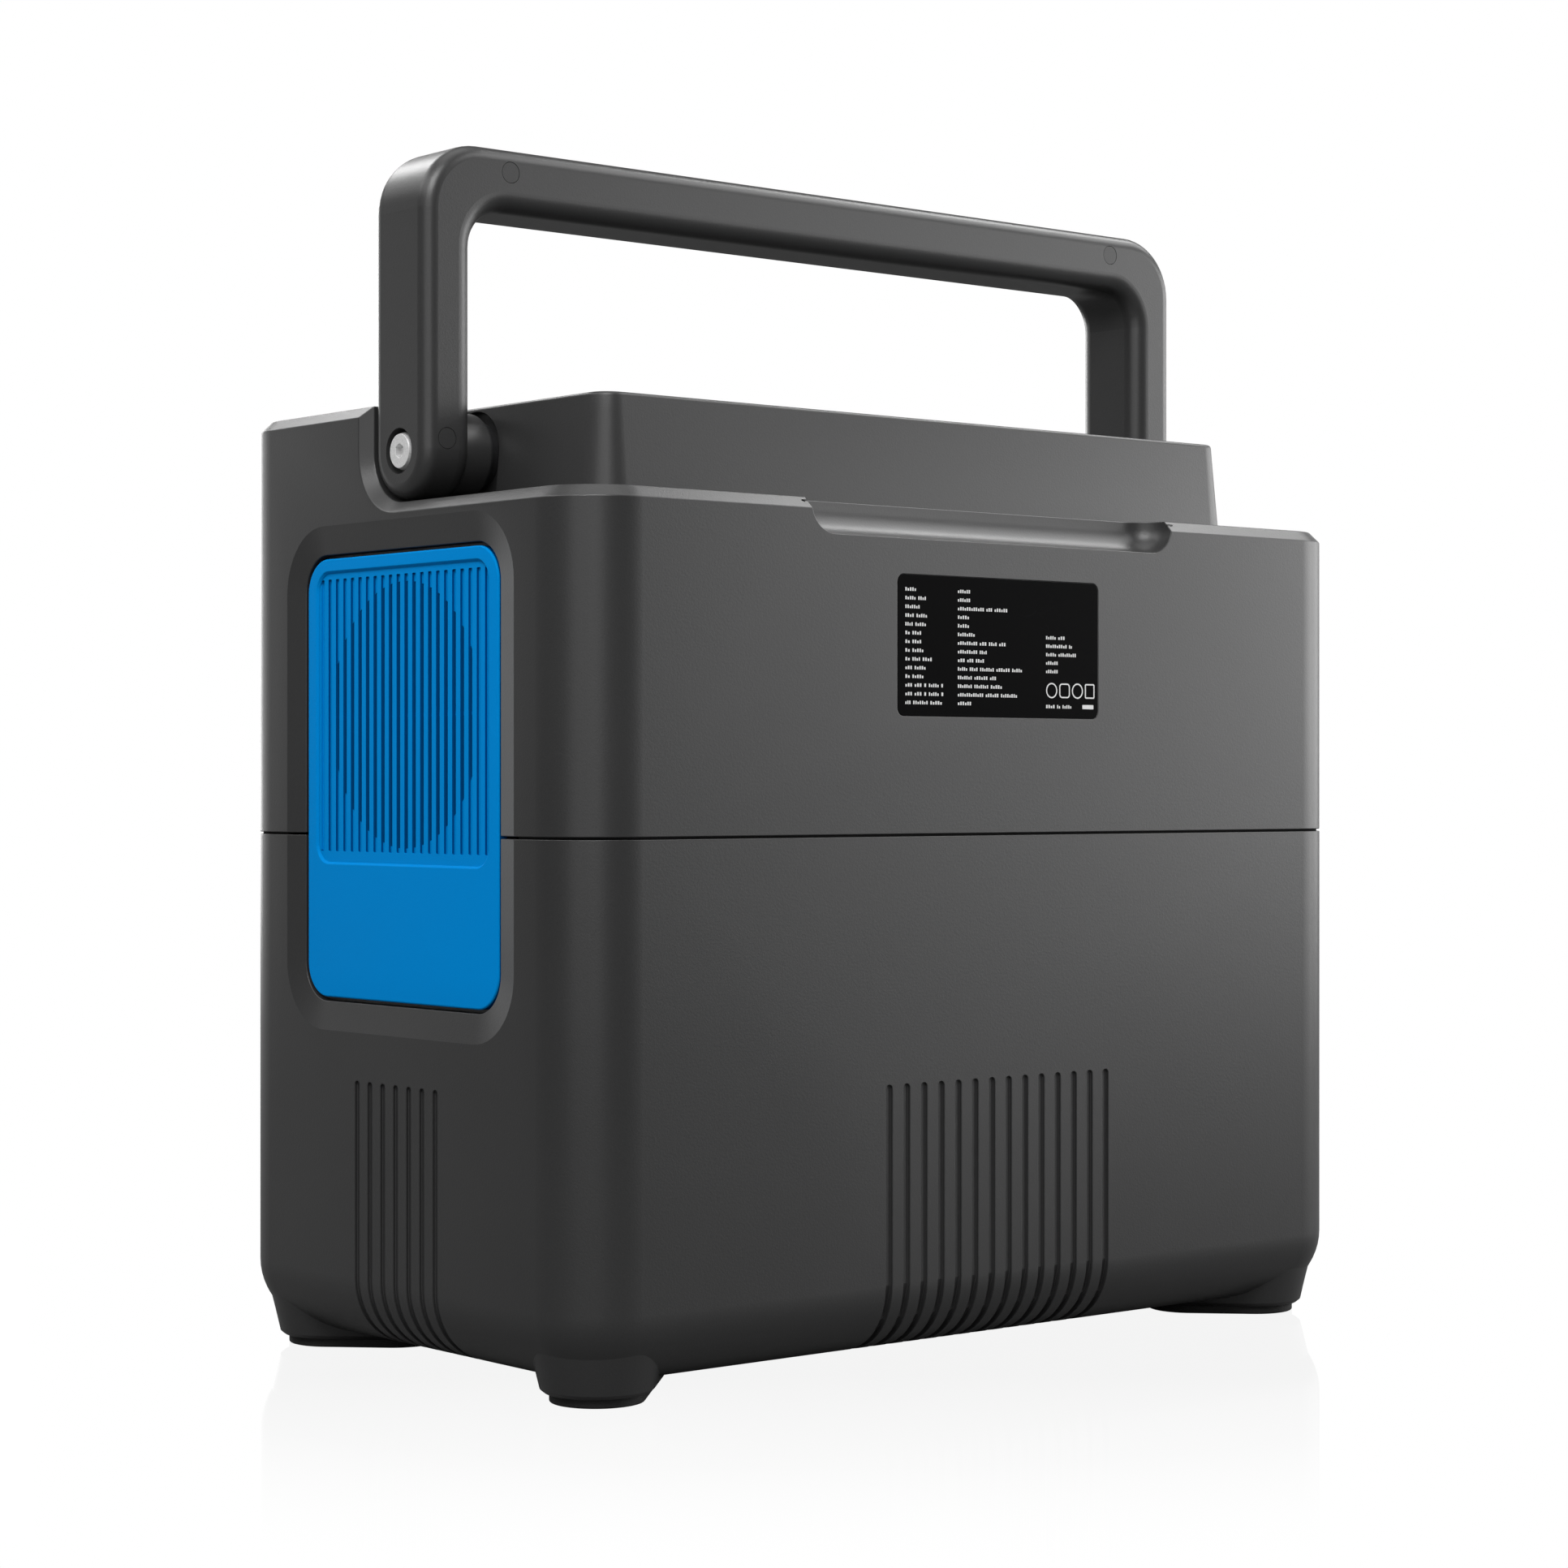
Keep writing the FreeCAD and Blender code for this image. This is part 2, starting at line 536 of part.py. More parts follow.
# side grooves, cut with plain solids so that both ends share one outline
groove_tools = []
for face in (1, -1):
    for step in range(int(size("side_grooves"))):
        across = "groove_pitch*(%d - (side_grooves - 1)/2)" % step
        tag = "side_groove_%s_%d" % ("right" if face > 0 else "left", step)
        wall_cut = box(tag, "groove_depth + 2", "groove_width",
                       "groove_top - groove_width/2 - base_level - bottom_round",
                       "%d*(case_width/2 - groove_depth/2 + 1)" % face, across,
                       "base_level + bottom_round")
        end_cut = rod(tag + "_end", "groove_width/2", "groove_depth + 2",
                      "%d*(case_width/2 - groove_depth/2 + 1) - groove_depth/2 - 1" % face, across,
                      "groove_top - groove_width/2", along="x")
        outer = rod(tag + "_outer", "bottom_round + 3", "groove_width",
                    "%d*(case_width/2 - bottom_round)" % face, "%s - groove_width/2" % across,
                    "base_level + bottom_round", along="y")
        inner = rod(tag + "_inner", "bottom_round - groove_depth", "groove_width + 2",
                    "%d*(case_width/2 - bottom_round)" % face, "%s - groove_width/2 - 1" % across,
                    "base_level + bottom_round", along="y")
        quarter = box(tag + "_quarter", "bottom_round + 4", "groove_width", "bottom_round + 4",
                      "%d*(case_width/2 - bottom_round/2 + 2)" % face, across,
                      "base_level - 4")
        bend = common(tag + "_bend", cut(tag + "_ring", outer, inner), quarter)
        under = box(tag + "_under", 14, "groove_width", "groove_depth + 2",
                    "%d*(case_width/2 - bottom_round - 7)" % face, across, "base_level - 2")
        groove_tools += [wall_cut, end_cut, bend, under]
grooved = cut("grooved_case", case, *groove_tools)

lower_space = box("lower_space", 400, 300, "seam_level - seam_gap/2", 0, 0, 0)
upper_space = box("upper_space", 400, 300, 200, 0, 0, "seam_level + seam_gap/2")
keep("lower_shell", common("lower_half", grooved, lower_space))
keep("upper_shell", common("upper_half", grooved, upper_space))

gasket = body("gasket_body")
gasket_plan = sketch(gasket, "gasket_plan", "XY", "seam_level - seam_gap/2")
draw_rounded(gasket_plan, "case_width - 2", "case_depth - 2", "corner_round - 1")
draw_rounded(gasket_plan, "case_width - 2*wall", "case_depth - 2*wall", "corner_round - wall")
pad(gasket, "gasket_pad", gasket_plan, "seam_gap")
gasket_gaps = sketch(gasket, "gasket_gaps", "XY", "seam_level - seam_gap/2")
draw_rounded(gasket_gaps, "case_width + 4", "dish_width + 2", 2)
draw_rounded(gasket_gaps, "front_width + 2", 20, 2, 0, "-case_depth/2")
pocket(gasket, "gasket_cut", gasket_gaps, "seam_gap", reverse=True)
keep("seam_gasket", gasket)

# --- handle ------------------------------------------------------------------------------------
handle_body = body("handle_body")
FOOT = "pivot_level - handle_depth/2"
INSIDE = "handle_half - handle_arm"
loop_plan = sketch(handle_body, "loop_plan", "XZ", "pivot_back - handle_depth/2")
draw_polygon(loop_plan, [("-handle_half", FOOT), ("-(%s)" % INSIDE, FOOT),
                         ("-(%s)" % INSIDE, "handle_top - handle_bar"),
                         (INSIDE, "handle_top - handle_bar"), (INSIDE, FOOT),
                         ("handle_half", FOOT), ("handle_half", "handle_top"),
                         ("-handle_half", "handle_top")])
loop = pad(handle_body, "loop", loop_plan, "handle_depth")
loop_out = dress(handle_body, "Fillet", "loop_outer_corners", loop,
                 lambda b, e: near(b.ZMin, "handle_top") and b.XLength < 0.1
                 and b.YLength > 20, Radius="handle_corner")
loop_in = dress(handle_body, "Fillet", "loop_inner_corners", loop_out,
                lambda b, e: near(b.ZMin, "handle_top - handle_bar") and b.XLength < 0.1
                and b.YLength > 20, Radius="handle_inner_corner")
loop_ends = dress(handle_body, "Fillet", "loop_ends", loop_in,
                  lambda b, e: flat_at(b, FOOT) and b.YLength < 0.1, Radius="handle_depth/2 - 0.02")


def is_outer_edge(b, e):
    """The outline of the loop's outside on its front and back faces."""
    outside = (near(b.XMax, "handle_half") or near(b.XMin, "-handle_half")
               or near(b.ZMax, "handle_top"))
    return outside and b.YLength < 0.1 and b.ZMax > size(FOOT) + 1


def is_grip_edge(b, e):
    """The outline of the loop's opening on its front and back faces."""
    on_arm = b.XLength < 0.1 and (near(b.XMin, INSIDE) or near(b.XMax, "-(%s)" % INSIDE))
    under_bar = near(b.ZMax, "handle_top - handle_bar")
    return (on_arm or under_bar) and b.YLength < 0.1 and b.ZMax > size(FOOT) + 1


loop_skin = dress(handle_body, "Fillet", "loop_outer_edge", loop_ends, is_outer_edge,
                  Radius="handle_outer_edge")
loop_grip = dress(handle_body, "Fillet", "loop_inner_edge", loop_skin, is_grip_edge,
                  Radius="handle_inner_edge")
doc.recompute()

barrels = []
bores = []
for side, face in (("right", 1), ("left", -1)):
    low = "barrel_end" if face > 0 else "-handle_half + 7"
    barrels.append(rod("barrel_" + side, "barrel_radius", "handle_half - barrel_end - 7", low,
                       "-pivot_back", "pivot_level", along="x"))
    recess_start = "handle_half - screw_recess_depth" if face > 0 else "-handle_half - 5"
    bores.append(rod("screw_recess_" + side, "screw_recess_radius", "screw_recess_depth + 5",
                     recess_start, "-pivot_back", "pivot_level", along="x"))
    bore_start = "barrel_end - 5" if face > 0 else "-handle_half - 5"
    bores.append(rod("shank_bore_" + side, "shank_radius + shank_clearance",
                     "handle_half - barrel_end + 10", bore_start, "-pivot_back", "pivot_level",
                     along="x"))
PLUGS = [("plug_offset", "plug_level"), ("-plug_offset", "plug_level"),
         ("low_plug_offset", "low_plug_level"), ("-low_plug_offset", "low_plug_level")]
BACK = "handle_depth/2 - pivot_back"
for index, (x, z) in enumerate(PLUGS):
    bores.append(rod("plug_bore_%d" % index, "plug_radius + plug_gap", "plug_depth + 3", x,
                     "%s - plug_depth" % BACK, z, along="y"))
handle_solid = fuse("handle_solid", handle_body, *barrels)
keep("handle", cut("handle_bored", handle_solid, *bores))
plugs = []
for index, (x, z) in enumerate(PLUGS):
    plugs.append(rod("plug_%d" % index, "plug_radius", "plug_depth - 0.05", x,
                     "%s - plug_depth" % BACK, z, along="y"))
keep("handle_plugs", group("plugs", plugs))

# --- pivots ------------------------------------------------------------------------------------
HEAD_FACE = "handle_half - screw_recess_depth + 0.1"
shank = rod("shank", "shank_radius", "%s - 112" % HEAD_FACE, 112, "-pivot_back", "pivot_level", along="x")
head_low = rod("head_low", "head_radius", 1.6, HEAD_FACE, "-pivot_back", "pivot_level", along="x")
head_high = cone("head_high", "head_radius", "head_radius - 0.6", "head_height - 1.6",
                 "%s + 1.6" % HEAD_FACE, "-pivot_back", "pivot_level", along="x")
hex_socket = bind(doc.addObject("Part::Prism", "hex_socket"), Circumradius="hex_across/1.7320508",
                  Height=6)
hex_socket.Polygon = 6
turn(hex_socket, (0, 1, 0), 90)
place(hex_socket, "%s + head_height - 2.2" % HEAD_FACE, "-pivot_back", "pivot_level")
screw = cut("pivot_screw", fuse("screw_blank", shank, head_low, head_high), hex_socket)


def ring(name, outer_radius, inner_radius, length, x):
    """A washer about the pivot axis on the +X side."""
    outside = rod(name + "_outside", outer_radius, length, x, "-pivot_back", "pivot_level", along="x")
    inside = rod(name + "_inside", inner_radius, "%s + 2" % length, "%s - 1" % x, "-pivot_back",
                 "pivot_level", along="x")
    return cut(name, outside, inside)


washer = ring("friction_washer", 12, "shank_radius + shank_clearance", 0.9, "barrel_end - 1")
bush_tube = rod("bush_tube", "shank_radius + 2.4", "barrel_end - 1 - 118", 118,
                "-pivot_back", "pivot_level", along="x")
bush_flange = rod("bush_flange", 10, "barrel_end - 1 - arch_floor", "arch_floor", "-pivot_back",
                  "pivot_level", along="x")
bush_bore = rod("bush_bore", "shank_radius + shank_clearance", 40, 100, "-pivot_back", "pivot_level",
                along="x")
bush = cut("pivot_bush", fuse("bush_blank", bush_tube, bush_flange), bush_bore)
bracket_plate = box("bracket_plate", 2, 44, 22, 117, "-pivot_back", "pivot_level", centred="xyz")
bracket_hole = rod("bracket_hole", "shank_radius + 0.2", 20, 105, "-pivot_back", "pivot_level", along="x")
bracket = cut("pivot_bracket", bracket_plate, bracket_hole)
nut_blank = bind(doc.addObject("Part::Prism", "nut_blank"), Circumradius="13/1.7320508", Height=4)
nut_blank.Polygon = 6
turn(nut_blank, (0, 1, 0), 90)
place(nut_blank, 112, "-pivot_back", "pivot_level")
nut_bore = rod("nut_bore", "shank_radius", 20, 105, "-pivot_back", "pivot_level", along="x")
nut = cut("pivot_nut", nut_blank, nut_bore)
for label, item in (("pivot_screw", screw), ("pivot_washer", washer), ("pivot_bush", bush),
                    ("pivot_bracket", bracket)):
    keep(label + "_right", item)
    keep(label + "_left", mirrored(label + "_mirror", item))
keep("pivot_nuts", group("nuts", [nut, mirrored("nut_mirror", nut)]))

# --- side panels and fans ----------------------------------------------------------------------
panel = body("panel_body")
PANEL_FACE = "case_width/2 - dish_depth"
panel_plan = sketch(panel, "panel_plan", "YZ", "%s - panel_thick" % PANEL_FACE)
draw_rounded(panel_plan, "panel_width", "panel_height", "panel_round", 0, "panel_level")
panel_pad = pad(panel, "panel_pad", panel_plan, "panel_thick")
panel_rim = dress(panel, "Fillet", "panel_rim", panel_pad,
                  lambda b, e: near(b.XMin, PANEL_FACE) and near(b.XMax, PANEL_FACE),
                  Radius="panel_edge")
frame_plan = sketch(panel, "frame_plan", "YZ", PANEL_FACE)
draw_rounded(frame_plan, "grille_frame_width - 1", "grille_frame_height - 1", 6, 0, "grille_frame_level")
frame_cut = pocket(panel, "frame_cut", frame_plan, "grille_frame_depth")
frame_slope = dress(panel, "Chamfer", "frame_slope", frame_cut,
                    lambda b, e: near(b.XMin, PANEL_FACE) and near(b.XMax, PANEL_FACE)
                    and b.YMax < 47 and b.YMin > -47 and b.ZMin > 150, Size=0.7)
groove_plan = sketch(panel, "rib_plan", "YZ", "%s - grille_frame_depth" % PANEL_FACE)
draw_rounded(groove_plan, "rib_slot", "rib_height", 0.4, "-rib_pitch*(rib_count - 1)/2", "rib_level")
rib_cut = pocket(panel, "rib_cut", groove_plan, "grille_slot_depth")
row_of(panel, "rib_row", [rib_cut], groove_plan, "H_Axis", "rib_pitch*(rib_count - 1)", "rib_count")
doc.recompute()
slots = []
for index in range(int(size("rib_count"))):
    across = "rib_pitch*(%d - (rib_count - 1)/2)" % index
    reach = abs(size(across)) + size("rib_slot") / 2
    if reach < size("grille_radius") - 1:
        slots.append(box("slot_%d" % index, 12, "rib_slot", "2*grille_radius",
                         "case_width/2 - 6", across, "fan_level", centred="xyz"))
slot_disc = rod("slot_disc", "grille_radius", 14, "case_width/2 - 12", 0, "fan_level", along="x")
slot_tool = common("slot_tool", fuse("slot_blank", *slots), slot_disc)
brace = box("brace", 1.0, "2*grille_radius + 4", 1.0, "%s - panel_thick + 0.5" % PANEL_FACE, 0,
            "fan_level", centred="xyz")
panel_solid = fuse("panel_solid", cut("panel_slotted", panel, slot_tool), brace)
keep("side_panel_right", panel_solid)
keep("side_panel_left", mirrored("panel_mirror", panel_solid))

fan = body("fan_body")
FAN_BACK = "%s - panel_thick - fan_thick" % PANEL_FACE
fan_plan = sketch(fan, "fan_plan", "YZ", FAN_BACK)
draw_rounded(fan_plan, "fan_size", "fan_size", "fan_round", 0, "fan_level")
draw_circle(fan_plan, "fan_bore", 0, "fan_level")
for sign_y in (1, -1):
    for sign_z in (1, -1):
        draw_circle(fan_plan, 2.2, "%d*fan_hole_offset" % sign_y,
                    "fan_level + %d*fan_hole_offset" % sign_z)
pad(fan, "fan_pad", fan_plan, "fan_thick")
waist_plan = sketch(fan, "waist_plan", "YZ", "%s + 4" % FAN_BACK)
draw_rounded(waist_plan, "fan_size + 10", "fan_size + 10", 2, 0, "fan_level")
draw_circle(waist_plan, "fan_bore + 1.8", 0, "fan_level")
pocket(fan, "fan_waist", waist_plan, "fan_thick - 8", reverse=True)
doc.recompute()
hub_seat = rod("hub_seat", 17, 2, FAN_BACK, 0, "fan_level", along="x")
axle = rod("fan_axle", 1.5, 18, FAN_BACK, 0, "fan_level", along="x")
struts = []
for index, angle in enumerate((45, 135, 225, 315)):
    strut = bind(doc.addObject("Part::Box", "strut_%d" % index), Length=2, Width=3, Height=39)
    strut.Placement.Rotation = FreeCAD.Rotation(FreeCAD.Vector(1, 0, 0), angle)
    struts.append(place(strut, FAN_BACK, 0, "fan_level"))
fan_frame = fuse("fan_frame", fan, hub_seat, axle, *struts)
keep("fan_frame_right", fan_frame)
keep("fan_frame_left", mirrored("fan_frame_mirror", fan_frame))

HUB_START = "%s + 3" % FAN_BACK
hub = cut("rotor_hub", rod("hub_blank", "hub_radius", 19, HUB_START, 0, "fan_level", along="x"),
          rod("hub_bore", 1.55, 16, "%s - 0.5" % HUB_START, 0, "fan_level", along="x"))
blades = []
for index in range(int(size("blade_count"))):
    angle = 360.0 * index / size("blade_count")
    blade = bind(doc.addObject("Part::Box", "blade_%d" % index), Length=1.6, Width=20,
                 Height="rotor_radius - hub_radius + 2")
    pitch = FreeCAD.Rotation(FreeCAD.Vector(0, 0, 1), 42)
    spin = FreeCAD.Rotation(FreeCAD.Vector(1, 0, 0), angle)
    root = spin.multVec(FreeCAD.Vector(0, 0, size("hub_radius") - 2) + pitch.multVec(
        FreeCAD.Vector(-0.8, -10, 0)))
    blade.Placement.Rotation = spin.multiply(pitch)
    blades.append(place(blade, "%s + 10 + %.6f" % (HUB_START, root.x), root.y,
                        "fan_level + %.6f" % root.z))
swept = rod("swept_space", "rotor_radius", 17, "%s + 1" % HUB_START, 0, "fan_level", along="x")
core_bore = rod("core_bore", 1.55, 12.5, "%s - 0.5" % HUB_START, 0, "fan_level", along="x")
blade_ring = cut("blade_ring", common("blade_trim", fuse("blade_set", *blades), swept), core_bore)
rotor = fuse("fan_rotor", hub, blade_ring)
keep("fan_rotor_right", rotor)
keep("fan_rotor_left", mirrored("fan_rotor_mirror", rotor))
screws = []
for side, start in (("right", "%s - 1.5" % FAN_BACK), ("left", "-(%s) + 1.5 - 1.5 - 26" % FAN_BACK)):
    for sign_y in (1, -1):
        for sign_z in (1, -1):
            y = "%d*fan_hole_offset" % sign_y
            z = "fan_level + %d*fan_hole_offset" % sign_z
            tag = "fan_screw_%s_%d%d" % (side, sign_y + 1, sign_z + 1)
            head_x = start if side == "right" else "-(%s)" % FAN_BACK
            stem_x = FAN_BACK if side == "right" else "-(%s) - 24.9" % FAN_BACK
            head = rod(tag + "_head", 3.6, 1.5, head_x, y, z, along="x")
            stem = rod(tag + "_stem", 2.1, 24.9, stem_x, y, z, along="x")
            screws.append(fuse(tag, head, stem))
keep("fan_screws", group("fan_screw_set", screws))

# --- rating plate, front panel and what it carries ----------------------------------------------
plate = body("plate_body")
plate_plan = sketch(plate, "plate_plan", "XZ", "-case_depth/2 + plate_recess - plate_thick")
draw_rounded(plate_plan, "plate_width - 0.2", "plate_height - 0.2", "plate_round", 0, "plate_level")
pad(plate, "plate_pad", plate_plan, "plate_thick")
keep("rating_plate", plate)

BUTTONS = [("power_button", -112), ("ac_button", -78), ("usb_button", 78), ("dc_button", 112)]
USB_A = [30, 50]
USB_C = [74, 92]
DC_JACKS = [22, 38]
SMALL_ROW = "front_level + 9"
LOW_ROW = "front_level - 30"
FRONT_FACE = "case_depth/2 - front_recess"

front = body("front_body")
front_sketch = sketch(front, "front_sketch", "XZ", "%s - front_thick" % FRONT_FACE)
draw_rounded(front_sketch, "front_width - 2*front_gap", "front_height - 2*front_gap",
             "front_round - front_gap", 0, "front_level")
pad(front, "front_pad", front_sketch, "front_thick")
ports = sketch(front, "port_openings", "XZ", FRONT_FACE)
draw_rounded(ports, "lens_width - 6", "lens_height - 6", 3, 0, "display_level")
for _, x in BUTTONS:
    draw_circle(ports, "button_radius + button_gap", x, "display_level")
for x in USB_A:
    draw_rounded(ports, 13.4, 6, 0.6, x, SMALL_ROW)
for x in USB_C:
    draw_rounded(ports, 9.6, 3.8, 1.8, x, SMALL_ROW)
for x in DC_JACKS:
    draw_circle(ports, 4.6, x, LOW_ROW)
draw_circle(ports, 6, 114, SMALL_ROW)
draw_circle(ports, 13, 100, LOW_ROW)
draw_rounded(ports, 27.6, 20.2, 0.3, 64, LOW_ROW)
for index in range(2):
    draw_rounded(ports, "socket_size - 4", "socket_size - 4", 6,
                 "socket_first + %d*socket_step" % index, "socket_level")
pocket(front, "port_cuts", ports, "front_thick")
lens_seat = sketch(front, "lens_seat", "XZ", FRONT_FACE)
draw_rounded(lens_seat, "lens_width + 0.6", "lens_height + 0.6", 4, 0, "display_level")
pocket(front, "lens_seat_cut", lens_seat, "lens_thick")
keep("front_panel", front)

lens = body("lens_body")
lens_plan = sketch(lens, "lens_plan", "XZ", "%s - lens_thick" % FRONT_FACE)
draw_rounded(lens_plan, "lens_width", "lens_height", 3.7, 0, "display_level")
pad(lens, "lens_pad", lens_plan, "lens_thick")
keep("display_lens", lens)

PANEL_BACK = "-(%s) + front_thick" % FRONT_FACE
module = box("display_module", "lens_width - 8", 5, "lens_height - 8", 0, "%s + 2.8" % PANEL_BACK,
             "display_level", centred="xyz")
keep("display_module", module)

BOARD_FACE = "%s + 11" % PANEL_BACK
board = box("panel_board", 246, 1.6, 52, 0, "%s + 0.8" % BOARD_FACE, "display_level - 9",
            centred="xyz")
switches = []
for index, (name, x) in enumerate(BUTTONS):
    cap = rod(name + "_cap", "button_radius", "button_length + button_proud", x,
              "-(%s) - button_proud" % FRONT_FACE, "display_level", along="y")
    collar = rod(name + "_collar", "button_radius + 1.5", 1.5, x,
                 "-(%s) + front_thick + 0.05" % FRONT_FACE, "display_level", along="y")
    keep(name, fuse(name + "_solid", cap, collar))
    switches.append(box("switch_%d" % index, 8, 4, 8, x, "%s - 2" % BOARD_FACE, "display_level",
                        centred="xyz"))
    switches.append(rod("plunger_%d" % index, 1.5, 2, x, "%s - 5.95" % BOARD_FACE, "display_level",
                        along="y"))
keep("control_board", fuse("board_set", board, *switches))

for index, side in enumerate(("left", "right")):
    x = "socket_first + %d*socket_step" % index
    face_y = "-(%s) - 0.6" % FRONT_FACE
    block = body("socket_%s_body" % side)
    block_plan = sketch(block, "socket_%s_plan" % side, "XZ", "%s - socket_length" % FRONT_FACE)
    draw_rounded(block_plan, "socket_size - 4.6", "socket_size - 4.6", 5.7, x, "socket_level")
    pad(block, "socket_%s_pad" % side, block_plan, "socket_length + 0.6")
    cup_plan = sketch(block, "socket_%s_cup" % side, "XZ", "%s + 0.6" % FRONT_FACE)
    draw_circle(cup_plan, "socket_cup", x, "socket_level")
    pocket(block, "socket_%s_cup_cut" % side, cup_plan, "socket_depth + 0.6")
    pin_plan = sketch(block, "socket_%s_pins" % side, "XZ", "%s - socket_depth + 1" % FRONT_FACE)
    for sign in (1, -1):
        draw_circle(pin_plan, 2.5, "%s + %f" % (x, sign * 9.5), "socket_level")
    pocket(block, "socket_%s_pin_cut" % side, pin_plan, 13)
    doc.recompute()
    clips = []
    for sign in (1, -1):
        clips.append(box("earth_clip_%s_%d" % (side, sign + 1), 5, 12, 1.6, x,
                         "-(%s) + 8" % FRONT_FACE, "socket_level + %f" % (sign * 19.3),
                         centred="xyz"))
    keep("ac_socket_" + side, fuse("socket_%s" % side, block, *clips))

inlet_shell = box("inlet_shell", 27, 26, 19.6, 64, "-(%s) + 12.4" % FRONT_FACE, LOW_ROW, centred="xyz")
inlet_hollow = box("inlet_hollow", 24, 20, 16.6, 64, "-(%s) + 7" % FRONT_FACE, LOW_ROW, centred="xyz")
pins = []
for index, (shift_x, shift_z) in enumerate(((-7, -2), (0, 2), (7, -2))):
    pins.append(box("inlet_pin_%d" % index, 2, 14, 4, 64 + shift_x, "-(%s) + 11" % FRONT_FACE,
                    "%s + %d" % (LOW_ROW, shift_z), centred="xyz"))
keep("ac_inlet", fuse("inlet_solid", cut("inlet_cup", inlet_shell, inlet_hollow), *pins))

car_tube = rod("car_tube", 12.7, 45.6, 100, "-(%s) - 0.6" % FRONT_FACE, LOW_ROW, along="y")
car_hole = rod("car_hole", 10.6, 42, 100, "-(%s) - 2" % FRONT_FACE, LOW_ROW, along="y")
car_pin = rod("car_pin", 2.2, 8, 100, "-(%s) + 34" % FRONT_FACE, LOW_ROW, along="y")
keep("car_socket", fuse("car_solid", cut("car_cup", car_tube, car_hole), car_pin))


def jack(name, x, level, radius, hole, pin):
    """A round low-voltage jack with a centre pin."""
    shell = rod(name + "_shell", radius, 14.3, x, "-(%s) - 0.3" % FRONT_FACE, level, along="y")
    inside = rod(name + "_inside", hole, 11, x, "-(%s) - 1" % FRONT_FACE, level, along="y")
    centre = rod(name + "_centre", pin, 8, x, "-(%s) + 3" % FRONT_FACE, level, along="y")
    return fuse(name, cut(name + "_cup", shell, inside), centre)


keep("dc_jacks", group("dc_jack_set", [jack("dc_jack_%d" % i, x, LOW_ROW, 4.3, 2.9, 1.05)
                                       for i, x in enumerate(DC_JACKS)]))
keep("dc_input_jack", jack("dc_input", 114, SMALL_ROW, 5.7, 4.1, 0.6))


def usb_port(name, x, width, height, rounding, tongue):
    """A USB socket: a metal shell with a tongue inside."""
    shell = body(name + "_shell")
    plan = sketch(shell, name + "_plan", "XZ", "%s - 14" % FRONT_FACE)
    draw_rounded(plan, width, height, rounding, x, SMALL_ROW)
    pad(shell, name + "_pad", plan, 14)
    hollow = sketch(shell, name + "_hollow", "XZ", FRONT_FACE)
    draw_rounded(hollow, width - 0.8, height - 0.8, max(rounding - 0.4, 0.2), x, SMALL_ROW)
    pocket(shell, name + "_cut", hollow, 12)
    doc.recompute()
    blade_shape = box(name + "_tongue", width - 3, 11, tongue, x, "-(%s) + 7.5" % FRONT_FACE, SMALL_ROW,
                      centred="xyz")
    return fuse(name, shell, blade_shape)


keep("usb_a_ports", group("usb_a_set", [usb_port("usb_a_%d" % i, x, 13.0, 5.6, 0.5, 1.6)
                                        for i, x in enumerate(USB_A)]))
keep("usb_c_ports", group("usb_c_set", [usb_port("usb_c_%d" % i, x, 9.2, 3.4, 1.6, 0.7)
                                        for i, x in enumerate(USB_C)]))

# --- feet and case screws ------------------------------------------------------------------------
for label, sign_x, sign_y in (("front_left", -1, -1), ("front_right", 1, -1), ("rear_left", -1, 1),
                              ("rear_right", 1, 1)):
    foot = body("foot_" + label)
    plan = sketch(foot, "foot_%s_plan" % label, "XY", 0)
    draw_slot(plan, "pad_length", "pad_width", "%d*stand_x" % sign_x, "%d*stand_y" % sign_y,
              SLOT_ANGLE * sign_x * sign_y)
    sole = pad(foot, "foot_%s_pad" % label, plan, "pad_thick")
    dress(foot, "Fillet", "foot_%s_edge" % label, sole, lambda b, e: flat_at(b, 0), Radius=0.6)
    keep("foot_pad_" + label, foot)
case_screws = []
for sign_x in (1, -1):
    for sign_y in (1, -1):
        tag = "case_screw_%d%d" % (sign_x + 1, sign_y + 1)
        x = "%d*post_x" % sign_x
        y = "%d*post_y" % sign_y
        stem = rod(tag + "_stem", "screw_radius", "seam_level - stand_bottom + 6", x, y, "stand_bottom + 4")
        head = rod(tag + "_head", "screw_radius*2 - 0.2", 2.5, x, y, "stand_bottom + 2.5")
        case_screws.append(fuse(tag, stem, head))
keep("case_screws", group("case_screw_set", case_screws))

# --- battery -------------------------------------------------------------------------------------
ROW_STEP = "cell_pitch"
for bank, start in (("front", "pack_y - cell_length - holder_thick/2 + 1"),
                    ("rear", "pack_y + holder_thick/2 - 1")):
    cells = []
    for column in range(int(size("cell_columns"))):
        for level in range(int(size("cell_rows"))):
            cells.append(rod("cell_%s_%d_%d" % (bank, column, level), "cell_radius", "cell_length",
                             "cell_pitch*(%d - (cell_columns - 1)/2)" % column, start,
                             "pack_bottom + cell_pitch*(%d + 0.5)" % level, along="y"))
    keep("battery_cells_" + bank, group("cells_" + bank, cells))


